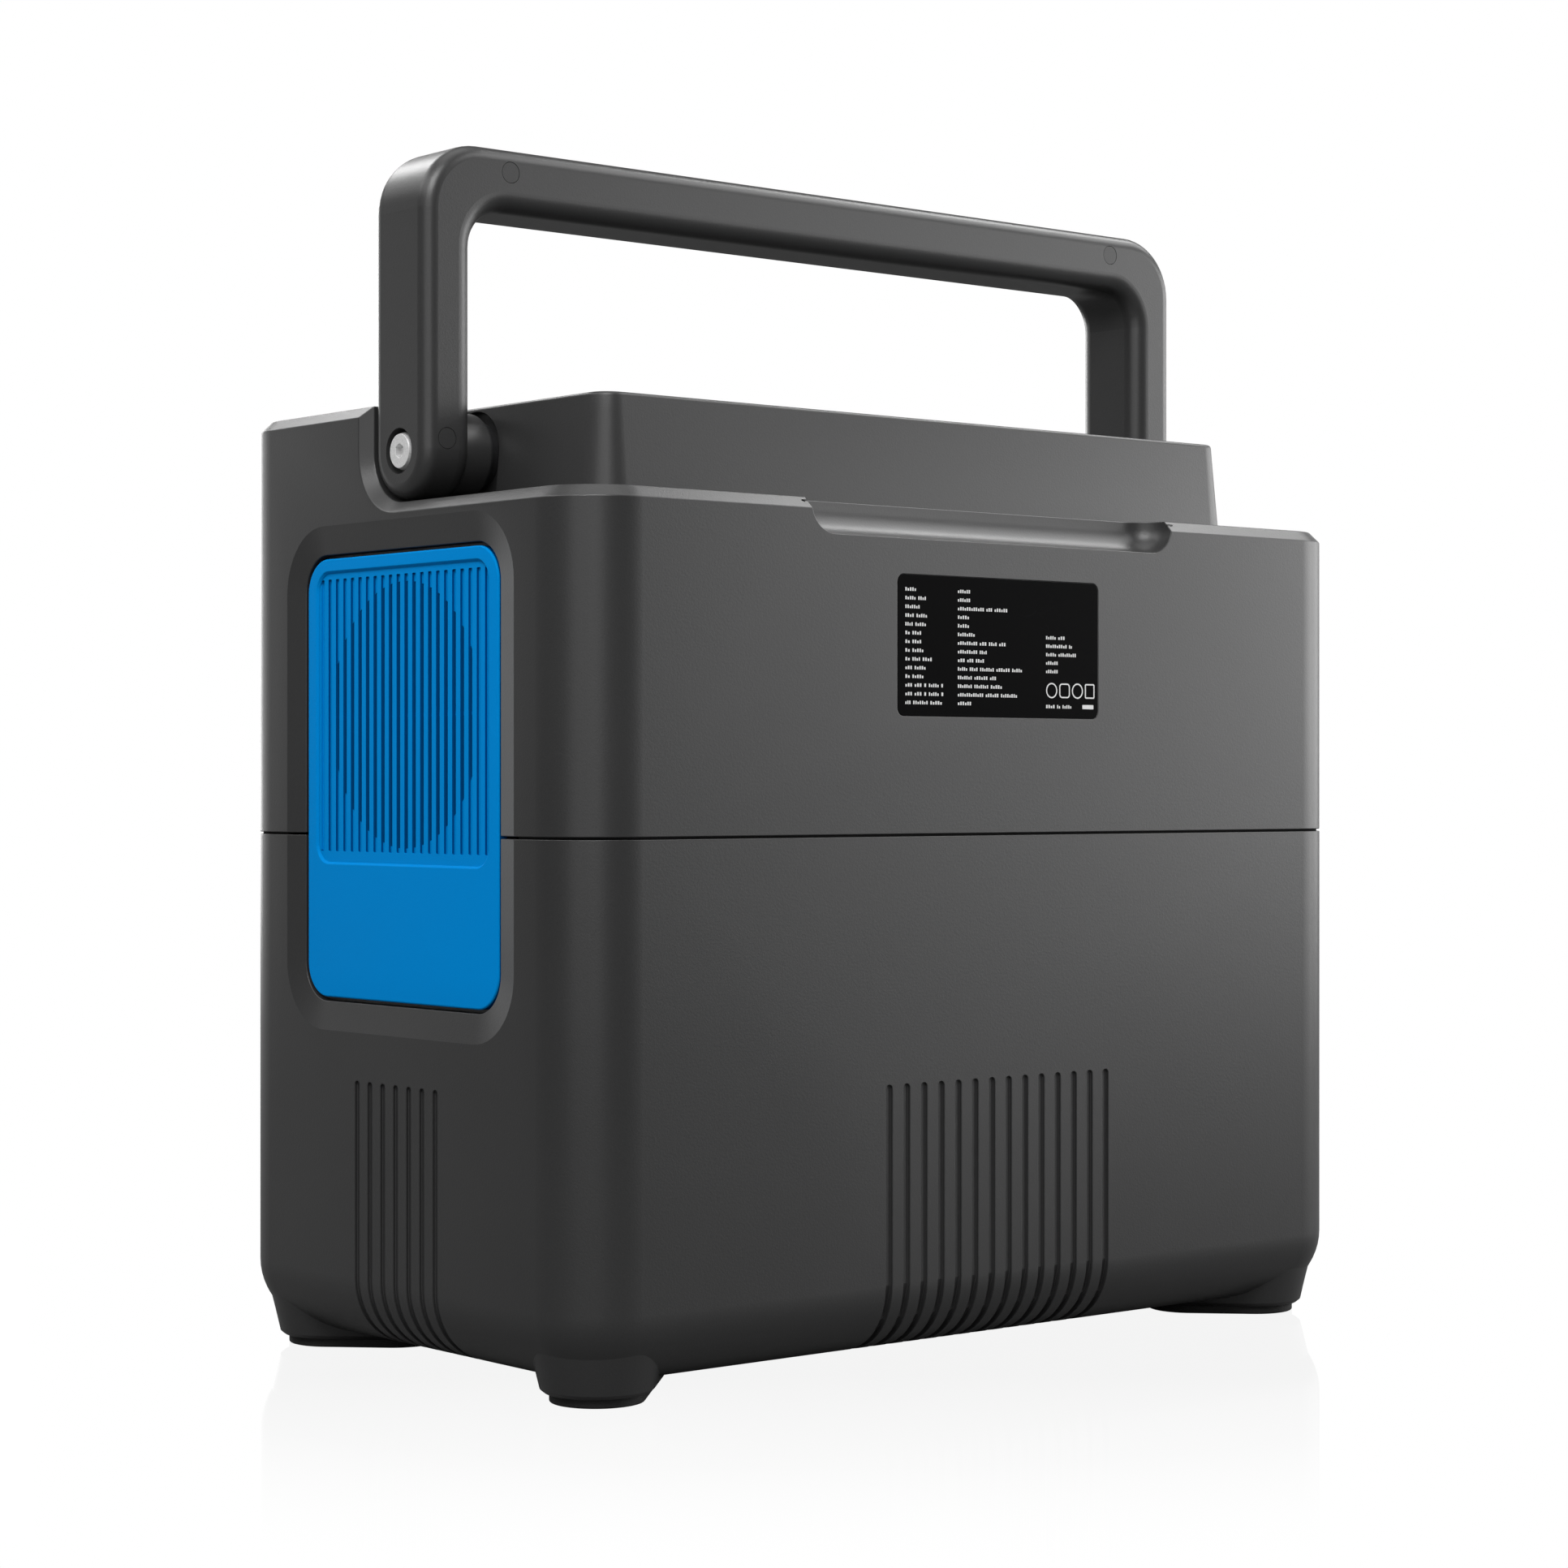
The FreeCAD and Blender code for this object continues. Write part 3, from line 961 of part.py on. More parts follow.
def cell_holder(name, y, thick):
    """A plate that holds one end of every cell in a bank."""
    plate_box = box(name + "_plate", "cell_pitch*cell_columns + 3", thick, "cell_pitch*cell_rows + 3",
                    0, y, "pack_bottom - 1")
    holes = []
    for column in range(int(size("cell_columns"))):
        for level in range(int(size("cell_rows"))):
            holes.append(rod("%s_hole_%d_%d" % (name, column, level), "cell_radius + 0.1", "%s + 4" % thick,
                             "cell_pitch*(%d - (cell_columns - 1)/2)" % column,
                             "%s - (%s)/2 - 2" % (y, thick),
                             "pack_bottom + cell_pitch*(%d + 0.5)" % level, along="y"))
    return cut(name, plate_box, *holes)


keep("cell_holder_front", cell_holder("holder_front", "pack_y - cell_length + 3", "holder_thick + 2"))
keep("cell_holder_middle", cell_holder("holder_middle", "pack_y", "holder_thick + 6"))
keep("cell_holder_rear", cell_holder("holder_rear", "pack_y + cell_length - 3", "holder_thick + 2"))
for bank, y in (("front", "pack_y - cell_length - 1.3"), ("rear", "pack_y + cell_length + 1.3")):
    strips = []
    for column in range(int(size("cell_columns"))):
        strips.append(box("strip_%s_%d" % (bank, column), 12, 0.6, "cell_pitch*cell_rows - 8",
                          "cell_pitch*(%d - (cell_columns - 1)/2)" % column, y, "pack_bottom + 4",
                          centred="xy"))
    tie = box("tie_" + bank, "cell_pitch*(cell_columns - 1) + 12", 0.6, 10, 0, y,
              "pack_bottom + cell_pitch*1.5 - 5")
    keep("busbar_" + bank, fuse("busbar_%s_solid" % bank, tie, *strips))
BANK_SIDE = "(cell_pitch*cell_columns + 3)/2"
pegs = [rod("bms_peg_%d" % index, 2.5, 2.4, "-%s - 2.4" % BANK_SIDE, y, "pack_bottom + %d" % z, along="x")
        for index, (y, z) in enumerate(((-60.5, 20), (-60.5, 80), (72.5, 20), (72.5, 80)))]
bms_plate = box("bms_plate", 1.6, 142, 84, "-%s - 3.2" % BANK_SIDE, "pack_y", "pack_bottom + 8")
keep("bms_board", fuse("bms_solid", bms_plate, *pegs))

# --- power electronics above the battery ---------------------------------------------------------
TRAY = "pack_bottom + cell_pitch*cell_rows + 2"
tray = box("tray", 252, 144, 1.5, 0, "pack_y - 1", TRAY)
standoffs = []
for sign_x in (1, -1):
    for sign_y in (1, -1):
        standoffs.append(rod("standoff_%d%d" % (sign_x + 1, sign_y + 1), 3, 6.5, sign_x * 105,
                             33 + sign_y * 40, "%s + 1.4" % TRAY))
keep("chassis_tray", fuse("tray_solid", tray, *standoffs))
BOARD = "%s + 7.9" % TRAY
keep("inverter_board", box("inverter_board_solid", 226, 100, 1.6, 0, 36, BOARD))
ON_BOARD = "%s + 1.6" % BOARD
for label, y in (("front", -4), ("rear", 74)):
    sink = [box("sink_%s_base" % label, 200, 3, 62, 0, y, "%s" % ON_BOARD)]
    for index in range(7):
        sink.append(box("sink_%s_fin_%d" % (label, index), 200, 9.2, 1.6, 0,
                        y + (6 if label == "rear" else -6), "%s + %d" % (ON_BOARD, 8 * index + 4)))
    keep("heat_sink_" + label, fuse("sink_" + label, *sink))
core_window = box("core_window", 60, 60, 26, -64, 34, "%s + 13" % ON_BOARD)
core = cut("core", box("core_blank", 54, 38, 52, -64, 34, ON_BOARD), core_window)
winding = box("winding", 36, 52, 24, -64, 34, "%s + 14" % ON_BOARD)
limb = box("limb", 20, 38, 52, -64, 34, ON_BOARD)
keep("transformer", fuse("transformer_solid", core, winding, limb))
choke_ring = bind(doc.addObject("Part::Torus", "choke_ring"), Radius1=15, Radius2=8)
place(choke_ring, 2, 30, "%s + 8.5" % ON_BOARD)
choke_foot = box("choke_foot", 34, 34, 3, 2, 30, ON_BOARD)
keep("output_choke", fuse("choke_solid", choke_ring, choke_foot))
caps = []
for column in range(2):
    for line in range(2):
        caps.append(rod("capacitor_%d_%d" % (column, line), 12, 42, 52 + 28 * column,
                        20 + 28 * line, ON_BOARD))
keep("bulk_capacitors", group("capacitor_set", caps))
links = []
for index, x in enumerate((88, 102)):
    links.append(box("link_%d" % index, 8, 1.5, "%s - pack_bottom - cell_pitch*2" % BOARD, x,
                     "pack_y + cell_length + 1.6", "pack_bottom + cell_pitch*2", centred="x"))
keep("battery_links", group("link_set", links))


def check_document():
    """Stop on any failed object or any sub-part that isn't sound."""
    doc.recompute()
    for item in doc.Objects:
        if any(word in item.State for word in ("Invalid", "Error")):
            raise RuntimeError("%s failed: %s" % (item.Name, item.State))
    for item in subparts:
        if item.Shape.isNull() or not item.Shape.isValid():
            raise RuntimeError("%s is not a sound shape" % item.Label)


check_document()
os.makedirs("parts", exist_ok=True)
for item in subparts:
    item.Shape.exportStep("parts/%s.step" % item.Label)
    print("%-22s solids %2d  volume %10.0f" % (item.Label, len(item.Shape.Solids), item.Shape.Volume))
print("sub-parts:", len(subparts))
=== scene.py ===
"""Looks of the portable power station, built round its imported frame.

Metres, in the frame's own axes: the socket panel faces -Y, the rating plate +Y, up is +Z.
Each sub-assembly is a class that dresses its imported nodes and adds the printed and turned
details they lack. Each finish is a small frozen class that builds one procedural material.
"""

import json
import logging
import math
from dataclasses import dataclass, field
from enum import Enum
from functools import cache

import bmesh
import bpy
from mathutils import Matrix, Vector


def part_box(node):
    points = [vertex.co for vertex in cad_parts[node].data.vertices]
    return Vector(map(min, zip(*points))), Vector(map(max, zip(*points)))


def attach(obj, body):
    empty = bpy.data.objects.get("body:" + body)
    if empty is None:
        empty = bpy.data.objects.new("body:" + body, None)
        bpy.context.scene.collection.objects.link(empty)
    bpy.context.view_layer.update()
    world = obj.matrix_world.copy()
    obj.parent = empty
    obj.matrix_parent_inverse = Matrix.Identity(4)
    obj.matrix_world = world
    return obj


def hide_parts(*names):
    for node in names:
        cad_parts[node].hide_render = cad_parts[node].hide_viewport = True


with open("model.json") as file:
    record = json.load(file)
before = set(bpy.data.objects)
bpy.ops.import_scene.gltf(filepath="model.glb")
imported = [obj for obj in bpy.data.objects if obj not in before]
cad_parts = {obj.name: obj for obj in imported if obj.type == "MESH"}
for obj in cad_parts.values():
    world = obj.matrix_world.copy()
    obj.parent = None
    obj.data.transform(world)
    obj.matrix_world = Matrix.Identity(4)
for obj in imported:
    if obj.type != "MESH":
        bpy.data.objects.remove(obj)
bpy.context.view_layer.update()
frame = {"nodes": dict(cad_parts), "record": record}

logger = logging.getLogger("power_station")
MM = 0.001
MERGE_GAP = 2e-6
FLAT_ANGLE = math.radians(0.3)
COAT_ROUGHNESS = 0.08
DUST_COLOUR = (0.45, 0.43, 0.4)
WHITE = (1.0, 1.0, 1.0, 1.0)
Colour = tuple[float, float, float]
Outline = list[tuple[float, float]]


# --- node trees -----------------------------------------------------------------------------------
class Graph:
    """Lays nodes into one node tree."""

    def __init__(self, tree: bpy.types.NodeTree) -> None:
        """Keep the tree that the nodes go into."""
        self.tree = tree

    def add(self, kind: str, inputs: dict | None = None, **settings: object) -> bpy.types.Node:
        """Add one node.

        Args:
            kind: the node's type name.
            inputs: socket name to a value or to another node's output socket.
            **settings: plain properties of the node.

        Returns:
            The new node.
        """
        node = self.tree.nodes.new(kind)
        for name, value in settings.items():
            setattr(node, name, value)
        for name, value in (inputs or {}).items():
            self.feed(node.inputs[name], value)
        return node

    def feed(self, socket: bpy.types.NodeSocket, value: object) -> None:
        """Link a socket to another node's output, or set its value.

        Args:
            socket: the input socket.
            value: a value or an output socket.
        """
        if isinstance(value, bpy.types.NodeSocket):
            self.tree.links.new(value, socket)
        else:
            socket.default_value = value

    def math(self, operation: str, first: object, second: object = 0.0, third: object = 0.0,
             clamp: bool = False) -> bpy.types.NodeSocket:
        """Add a Math node.

        Args:
            operation: the node's operation.
            first: a value or an output socket.
            second: a value or an output socket.
            third: a value or an output socket.
            clamp: whether the result is kept within 0 and 1.

        Returns:
            The result's socket.
        """
        node = self.add("ShaderNodeMath", operation=operation, use_clamp=clamp)
        for socket, value in zip(node.inputs, (first, second, third)):
            self.feed(socket, value)
        return node.outputs[0]

    def blend(self, factor: object, low: object, high: object) -> bpy.types.NodeSocket:
        """Mix two colours.

        Args:
            factor: a value or an output socket from 0 to 1.
            low: the colour at 0.
            high: the colour at 1.

        Returns:
            The mixed colour's socket.
        """
        node = self.add("ShaderNodeMix", data_type="RGBA")
        # The node's colour sockets are inputs 6 and 7 and output 2.
        for place, value in ((0, factor), (6, low), (7, high)):
            self.feed(node.inputs[place], value)
        return node.outputs[2]

    def span(self, value: object, low: float, high: float, to_low: float = 0.0,
             to_high: float = 1.0) -> bpy.types.NodeSocket:
        """Map one range of a value onto another, clamped.

        Args:
            value: a value or an output socket.
            low: the start of the range.
            high: the end of the range.
            to_low: what the start becomes.
            to_high: what the end becomes.

        Returns:
            The result's socket.
        """
        node = self.add("ShaderNodeMapRange", clamp=True)
        for socket, item in zip(node.inputs, (value, low, high, to_low, to_high)):
            self.feed(socket, item)
        return node.outputs[0]

    def choose(self, factor: bpy.types.NodeSocket, first: bpy.types.Node,
               second: bpy.types.Node) -> bpy.types.Node:
        """Mix two shaders.

        Args:
            factor: the second shader's share.
            first: the shader's node at 0.
            second: the shader's node at 1.

        Returns:
            The mixing node.
        """
        node = self.add("ShaderNodeMixShader", {"Fac": factor})
        self.feed(node.inputs[1], first.outputs[0])
        self.feed(node.inputs[2], second.outputs[0])
        return node

    def close(self, kind: str, shader: bpy.types.Node) -> None:
        """Lead a shader to the tree's output.

        Args:
            kind: the output node's type name.
            shader: the shader's node.
        """
        self.feed(self.add(kind).inputs["Surface"], shader.outputs[0])


def rgba(colour: Colour) -> tuple[float, float, float, float]:
    """A colour with full alpha."""
    return (*colour, 1.0)


class SharedEffects:
    """Node groups that more than one finish uses, each built once."""

    @staticmethod
    def _start(name: str, inputs: dict[str, float],
               outputs: list[str]) -> tuple[Graph, bpy.types.Node, bpy.types.Node]:
        """Open a new group with number sockets.

        Args:
            name: the group's name.
            inputs: input name to its default.
            outputs: output names.

        Returns:
            The group's graph, its input node and its output node.
        """
        tree = bpy.data.node_groups.new(name, "ShaderNodeTree")
        for title, default in inputs.items():
            socket = tree.interface.new_socket(title, in_out="INPUT", socket_type="NodeSocketFloat")
            socket.default_value = default
        for title in outputs:
            tree.interface.new_socket(title, in_out="OUTPUT", socket_type="NodeSocketFloat")
        graph = Graph(tree)
        return graph, graph.add("NodeGroupInput"), graph.add("NodeGroupOutput")

    @classmethod
    @cache
    def moulded_grain(cls) -> bpy.types.NodeTree:
        """The fine spark-eroded grain of a moulding.

        Returns:
            A group that puts out the grain's Height, a Speckle for the colour and a slow Cloud.
        """
        graph, source, sink = cls._start("moulded_grain", {"Pitch": 1500.0, "Cloud Scale": 9.0},
                                         ["Height", "Speckle", "Cloud"])
        place = graph.add("ShaderNodeTexCoord").outputs["Object"]
        fine = graph.add("ShaderNodeTexNoise", {"Vector": place, "Scale": source.outputs["Pitch"],
                                                "Detail": 2.0, "Roughness": 0.62})
        pits = graph.add("ShaderNodeTexVoronoi", {"Vector": place, "Scale": source.outputs["Pitch"],
                                                  "Randomness": 1.0}, feature="SMOOTH_F1")
        slow = graph.add("ShaderNodeTexNoise", {"Vector": place, "Scale": source.outputs["Cloud Scale"],
                                                "Detail": 3.0, "Roughness": 0.5})
        height = graph.math("MULTIPLY_ADD", pits.outputs["Distance"], 0.6, fine.outputs["Fac"])
        graph.feed(sink.inputs["Height"], height)
        graph.feed(sink.inputs["Speckle"], graph.span(fine.outputs["Fac"], 0.3, 0.7))
        graph.feed(sink.inputs["Cloud"], graph.span(slow.outputs["Fac"], 0.3, 0.7))
        return graph.tree

    @classmethod
    @cache
    def handling_marks(cls) -> bpy.types.NodeTree:
        """Faint rubs and hairline scuffs from handling.

        Returns:
            A group that puts out a Mask, 1 where the surface is rubbed.
        """
        graph, source, sink = cls._start("handling_marks", {"Amount": 0.2, "Scale": 40.0}, ["Mask"])
        place = graph.add("ShaderNodeTexCoord").outputs["Object"]
        bent = graph.add("ShaderNodeTexNoise", {"Vector": place, "Scale": 6.0, "Detail": 1.0})
        shifted = graph.add("ShaderNodeVectorMath", operation="ADD")
        graph.feed(shifted.inputs[0], place)
        graph.feed(shifted.inputs[1], bent.outputs["Color"])
        hairs = graph.add("ShaderNodeTexVoronoi", {"Vector": shifted.outputs[0],
                                                   "Scale": source.outputs["Scale"]},
                          feature="DISTANCE_TO_EDGE")
        line = graph.span(hairs.outputs["Distance"], 0.0, 0.006, 1.0, 0.0)
        where = graph.add("ShaderNodeTexNoise", {"Vector": place, "Scale": 14.0, "Detail": 2.0})
        patch = graph.span(where.outputs["Fac"], 0.56, 0.7)
        graph.feed(sink.inputs["Mask"], graph.math(
            "MULTIPLY", graph.math("MULTIPLY", line, patch), source.outputs["Amount"], clamp=True))
        return graph.tree

    @classmethod
    @cache
    def settled_dust(cls) -> bpy.types.NodeTree:
        """A trace of dust on what faces up.

        Returns:
            A group that puts out a Mask, 1 where dust lies.
        """
        graph, source, sink = cls._start("settled_dust", {"Amount": 0.05}, ["Mask"])
        normal = graph.add("ShaderNodeNewGeometry").outputs["Normal"]
        height = graph.add("ShaderNodeSeparateXYZ", {"Vector": normal}).outputs["Z"]
        place = graph.add("ShaderNodeTexCoord").outputs["Object"]
        specks = graph.add("ShaderNodeTexNoise", {"Vector": place, "Scale": 900.0, "Detail": 1.0})
        facing = graph.span(height, 0.5, 1.0)
        loose = graph.span(specks.outputs["Fac"], 0.45, 0.75)
        graph.feed(sink.inputs["Mask"], graph.math(
            "MULTIPLY", graph.math("MULTIPLY", facing, loose), source.outputs["Amount"], clamp=True))
        return graph.tree

    @classmethod
    @cache
    def turned_lines(cls) -> bpy.types.NodeTree:
        """Fine lines left by a lathe or a brush.

        Returns:
            A group that puts out the lines' Height and a Streak for the colour.
        """
        graph, source, sink = cls._start("turned_lines", {"Pitch": 2500.0}, ["Height", "Streak"])
        place = graph.add("ShaderNodeTexCoord").outputs["Object"]
        mapping = graph.add("ShaderNodeMapping", {"Vector": place, "Scale": (0.05, 1.0, 1.0)})
        lines = graph.add("ShaderNodeTexNoise", {"Vector": mapping.outputs[0],
                                                 "Scale": source.outputs["Pitch"], "Detail": 2.0})
        graph.feed(sink.inputs["Height"], lines.outputs["Fac"])
        graph.feed(sink.inputs["Streak"], graph.span(lines.outputs["Fac"], 0.35, 0.65))
        return graph.tree


# --- finishes -------------------------------------------------------------------------------------
@dataclass(frozen=True)
class Finish:
    """A procedural finish with a grain, slow colour variation, rubs and a trace of dust.

    Attributes:
        name: the material's name.
        colour: the main colour.
        tint: the colour that the slow variation and the speckle lean to.
        roughness: the mean roughness.
        spread: how far the roughness varies.
        pitch: grain features per metre.
        depth: the grain's height in metres.
        specular: the shader's specular level.
        metallic: 1 for bare metal.
        coat: weight of a clear coat.
        rub: amount of handling marks.
        dust: amount of dust on what faces up.
    """

    name: str
    colour: Colour
    tint: Colour
    roughness: float = 0.5
    spread: float = 0.06
    pitch: float = 1500.0
    depth: float = 0.00003
    specular: float = 0.5
    metallic: float = 0.0
    coat: float = 0.0
    rub: float = 0.15
    dust: float = 0.03

    def build(self) -> bpy.types.Material:
        """Make the material once.

        Returns:
            The material.
        """
        title = self.name + "_finish"
        found = bpy.data.materials.get(title)
        if found:
            return found
        material = bpy.data.materials.new(title)
        material.use_nodes = True
        material.node_tree.nodes.clear()
        graph = Graph(material.node_tree)
        shader = graph.add("ShaderNodeBsdfPrincipled", {
            "Metallic": self.metallic, "Specular IOR Level": self.specular,
            "Coat Weight": self.coat, "Coat Roughness": COAT_ROUGHNESS})
        grain = graph.add("ShaderNodeGroup", {"Pitch": self.pitch},
                          node_tree=SharedEffects.moulded_grain())
        marks = graph.add("ShaderNodeGroup", {"Amount": self.rub},
                          node_tree=SharedEffects.handling_marks())
        dust = graph.add("ShaderNodeGroup", {"Amount": self.dust},
                         node_tree=SharedEffects.settled_dust())
        lean = graph.math("MULTIPLY_ADD", grain.outputs["Cloud"], 0.5,
                          graph.math("MULTIPLY", grain.outputs["Speckle"], 0.5))
        colour = graph.blend(lean, rgba(self.colour), rgba(self.tint))
        worn = tuple(min(1.0, value * 1.6 + 0.02) for value in self.colour)
        rubbed = graph.blend(marks.outputs["Mask"], colour, rgba(worn))
        dusty = graph.blend(dust.outputs["Mask"], rubbed, rgba(DUST_COLOUR))
        graph.feed(shader.inputs["Base Color"], dusty)
        rough = graph.span(grain.outputs["Cloud"], 0.0, 1.0, self.roughness - self.spread,
                           self.roughness + self.spread)
        graph.feed(shader.inputs["Roughness"], graph.math("MULTIPLY_ADD", dust.outputs["Mask"], 0.5,
                                                          rough, clamp=True))
        bump = graph.add("ShaderNodeBump", {"Strength": 1.0, "Distance": self.depth,
                                            "Height": grain.outputs["Height"]})
        graph.feed(shader.inputs["Normal"], bump.outputs["Normal"])
        self.dress(graph, shader, grain)
        graph.close("ShaderNodeOutputMaterial", shader)
        return material

    def dress(self, graph: Graph, shader: bpy.types.Node, grain: bpy.types.Node) -> None:
        """A plain finish adds nothing."""


@dataclass(frozen=True)
class PlatedMetal(Finish):
    """Bare or plated metal with fine turned lines.

    Attributes:
        line_depth: the lines' depth in metres.
    """

    line_depth: float = 0.000004

    def dress(self, graph: Graph, shader: bpy.types.Node, grain: bpy.types.Node) -> None:
        """Trade the moulding's grain for turned lines.

        Args:
            graph: the material's graph.
            shader: the material's shader.
            grain: the material's grain node.
        """
        lines = graph.add("ShaderNodeGroup", {"Pitch": self.pitch},
                          node_tree=SharedEffects.turned_lines())
        bump = graph.add("ShaderNodeBump", {"Strength": 1.0, "Distance": self.line_depth,
                                            "Height": lines.outputs["Height"]})
        graph.feed(shader.inputs["Normal"], bump.outputs["Normal"])
        streaked = graph.blend(lines.outputs["Streak"], rgba(self.colour), rgba(self.tint))
        graph.feed(shader.inputs["Base Color"], streaked)


@dataclass(frozen=True)
class TintedWindow(Finish):
    """A clear moulding with a dark tint.

    Attributes:
        bending: the moulding's index of refraction.
    """

    bending: float = 1.49

    def dress(self, graph: Graph, shader: bpy.types.Node, grain: bpy.types.Node) -> None:
        """Let light through.

        Args:
            graph: the material's graph.
            shader: the material's shader.
            grain: the material's grain node.
        """
        shader.inputs["Transmission Weight"].default_value = 1.0
        shader.inputs["IOR"].default_value = self.bending


@dataclass(frozen=True)
class LitMark(Finish):
    """A lit segment or lamp.

    Attributes:
        glow: the light's colour.
        strength: the light's strength.
    """

    glow: Colour = (0.5, 0.9, 1.0)
    strength: float = 1.2

    def dress(self, graph: Graph, shader: bpy.types.Node, grain: bpy.types.Node) -> None:
        """Give the surface its own faint light.

        Args:
            graph: the material's graph.
            shader: the material's shader.
            grain: the material's grain node.
        """
        faint = tuple(value * 0.85 for value in self.glow)
        lit = graph.blend(grain.outputs["Cloud"], rgba(self.glow), rgba(faint))
        graph.feed(shader.inputs["Emission Color"], lit)
        shader.inputs["Emission Strength"].default_value = self.strength


@dataclass(frozen=True)
class CircuitBoard(Finish):
    """Solder mask over copper tracks.

    Attributes:
        track: the colour of the mask over a track.
    """

    track: Colour = (0.03, 0.2, 0.09)

    def dress(self, graph: Graph, shader: bpy.types.Node, grain: bpy.types.Node) -> None:
        """Draw blocky tracks in a second green.

        Args:
            graph: the material's graph.
            shader: the material's shader.
            grain: the material's grain node.
        """
        place = graph.add("ShaderNodeTexCoord").outputs["Object"]
        blocks = graph.add("ShaderNodeTexVoronoi", {"Vector": place, "Scale": 130.0},
                           distance="CHEBYCHEV", feature="F1")
        tracks = graph.span(blocks.outputs["Distance"], 0.42, 0.46)
        graph.feed(shader.inputs["Base Color"], graph.blend(tracks, rgba(self.colour), rgba(self.track)))


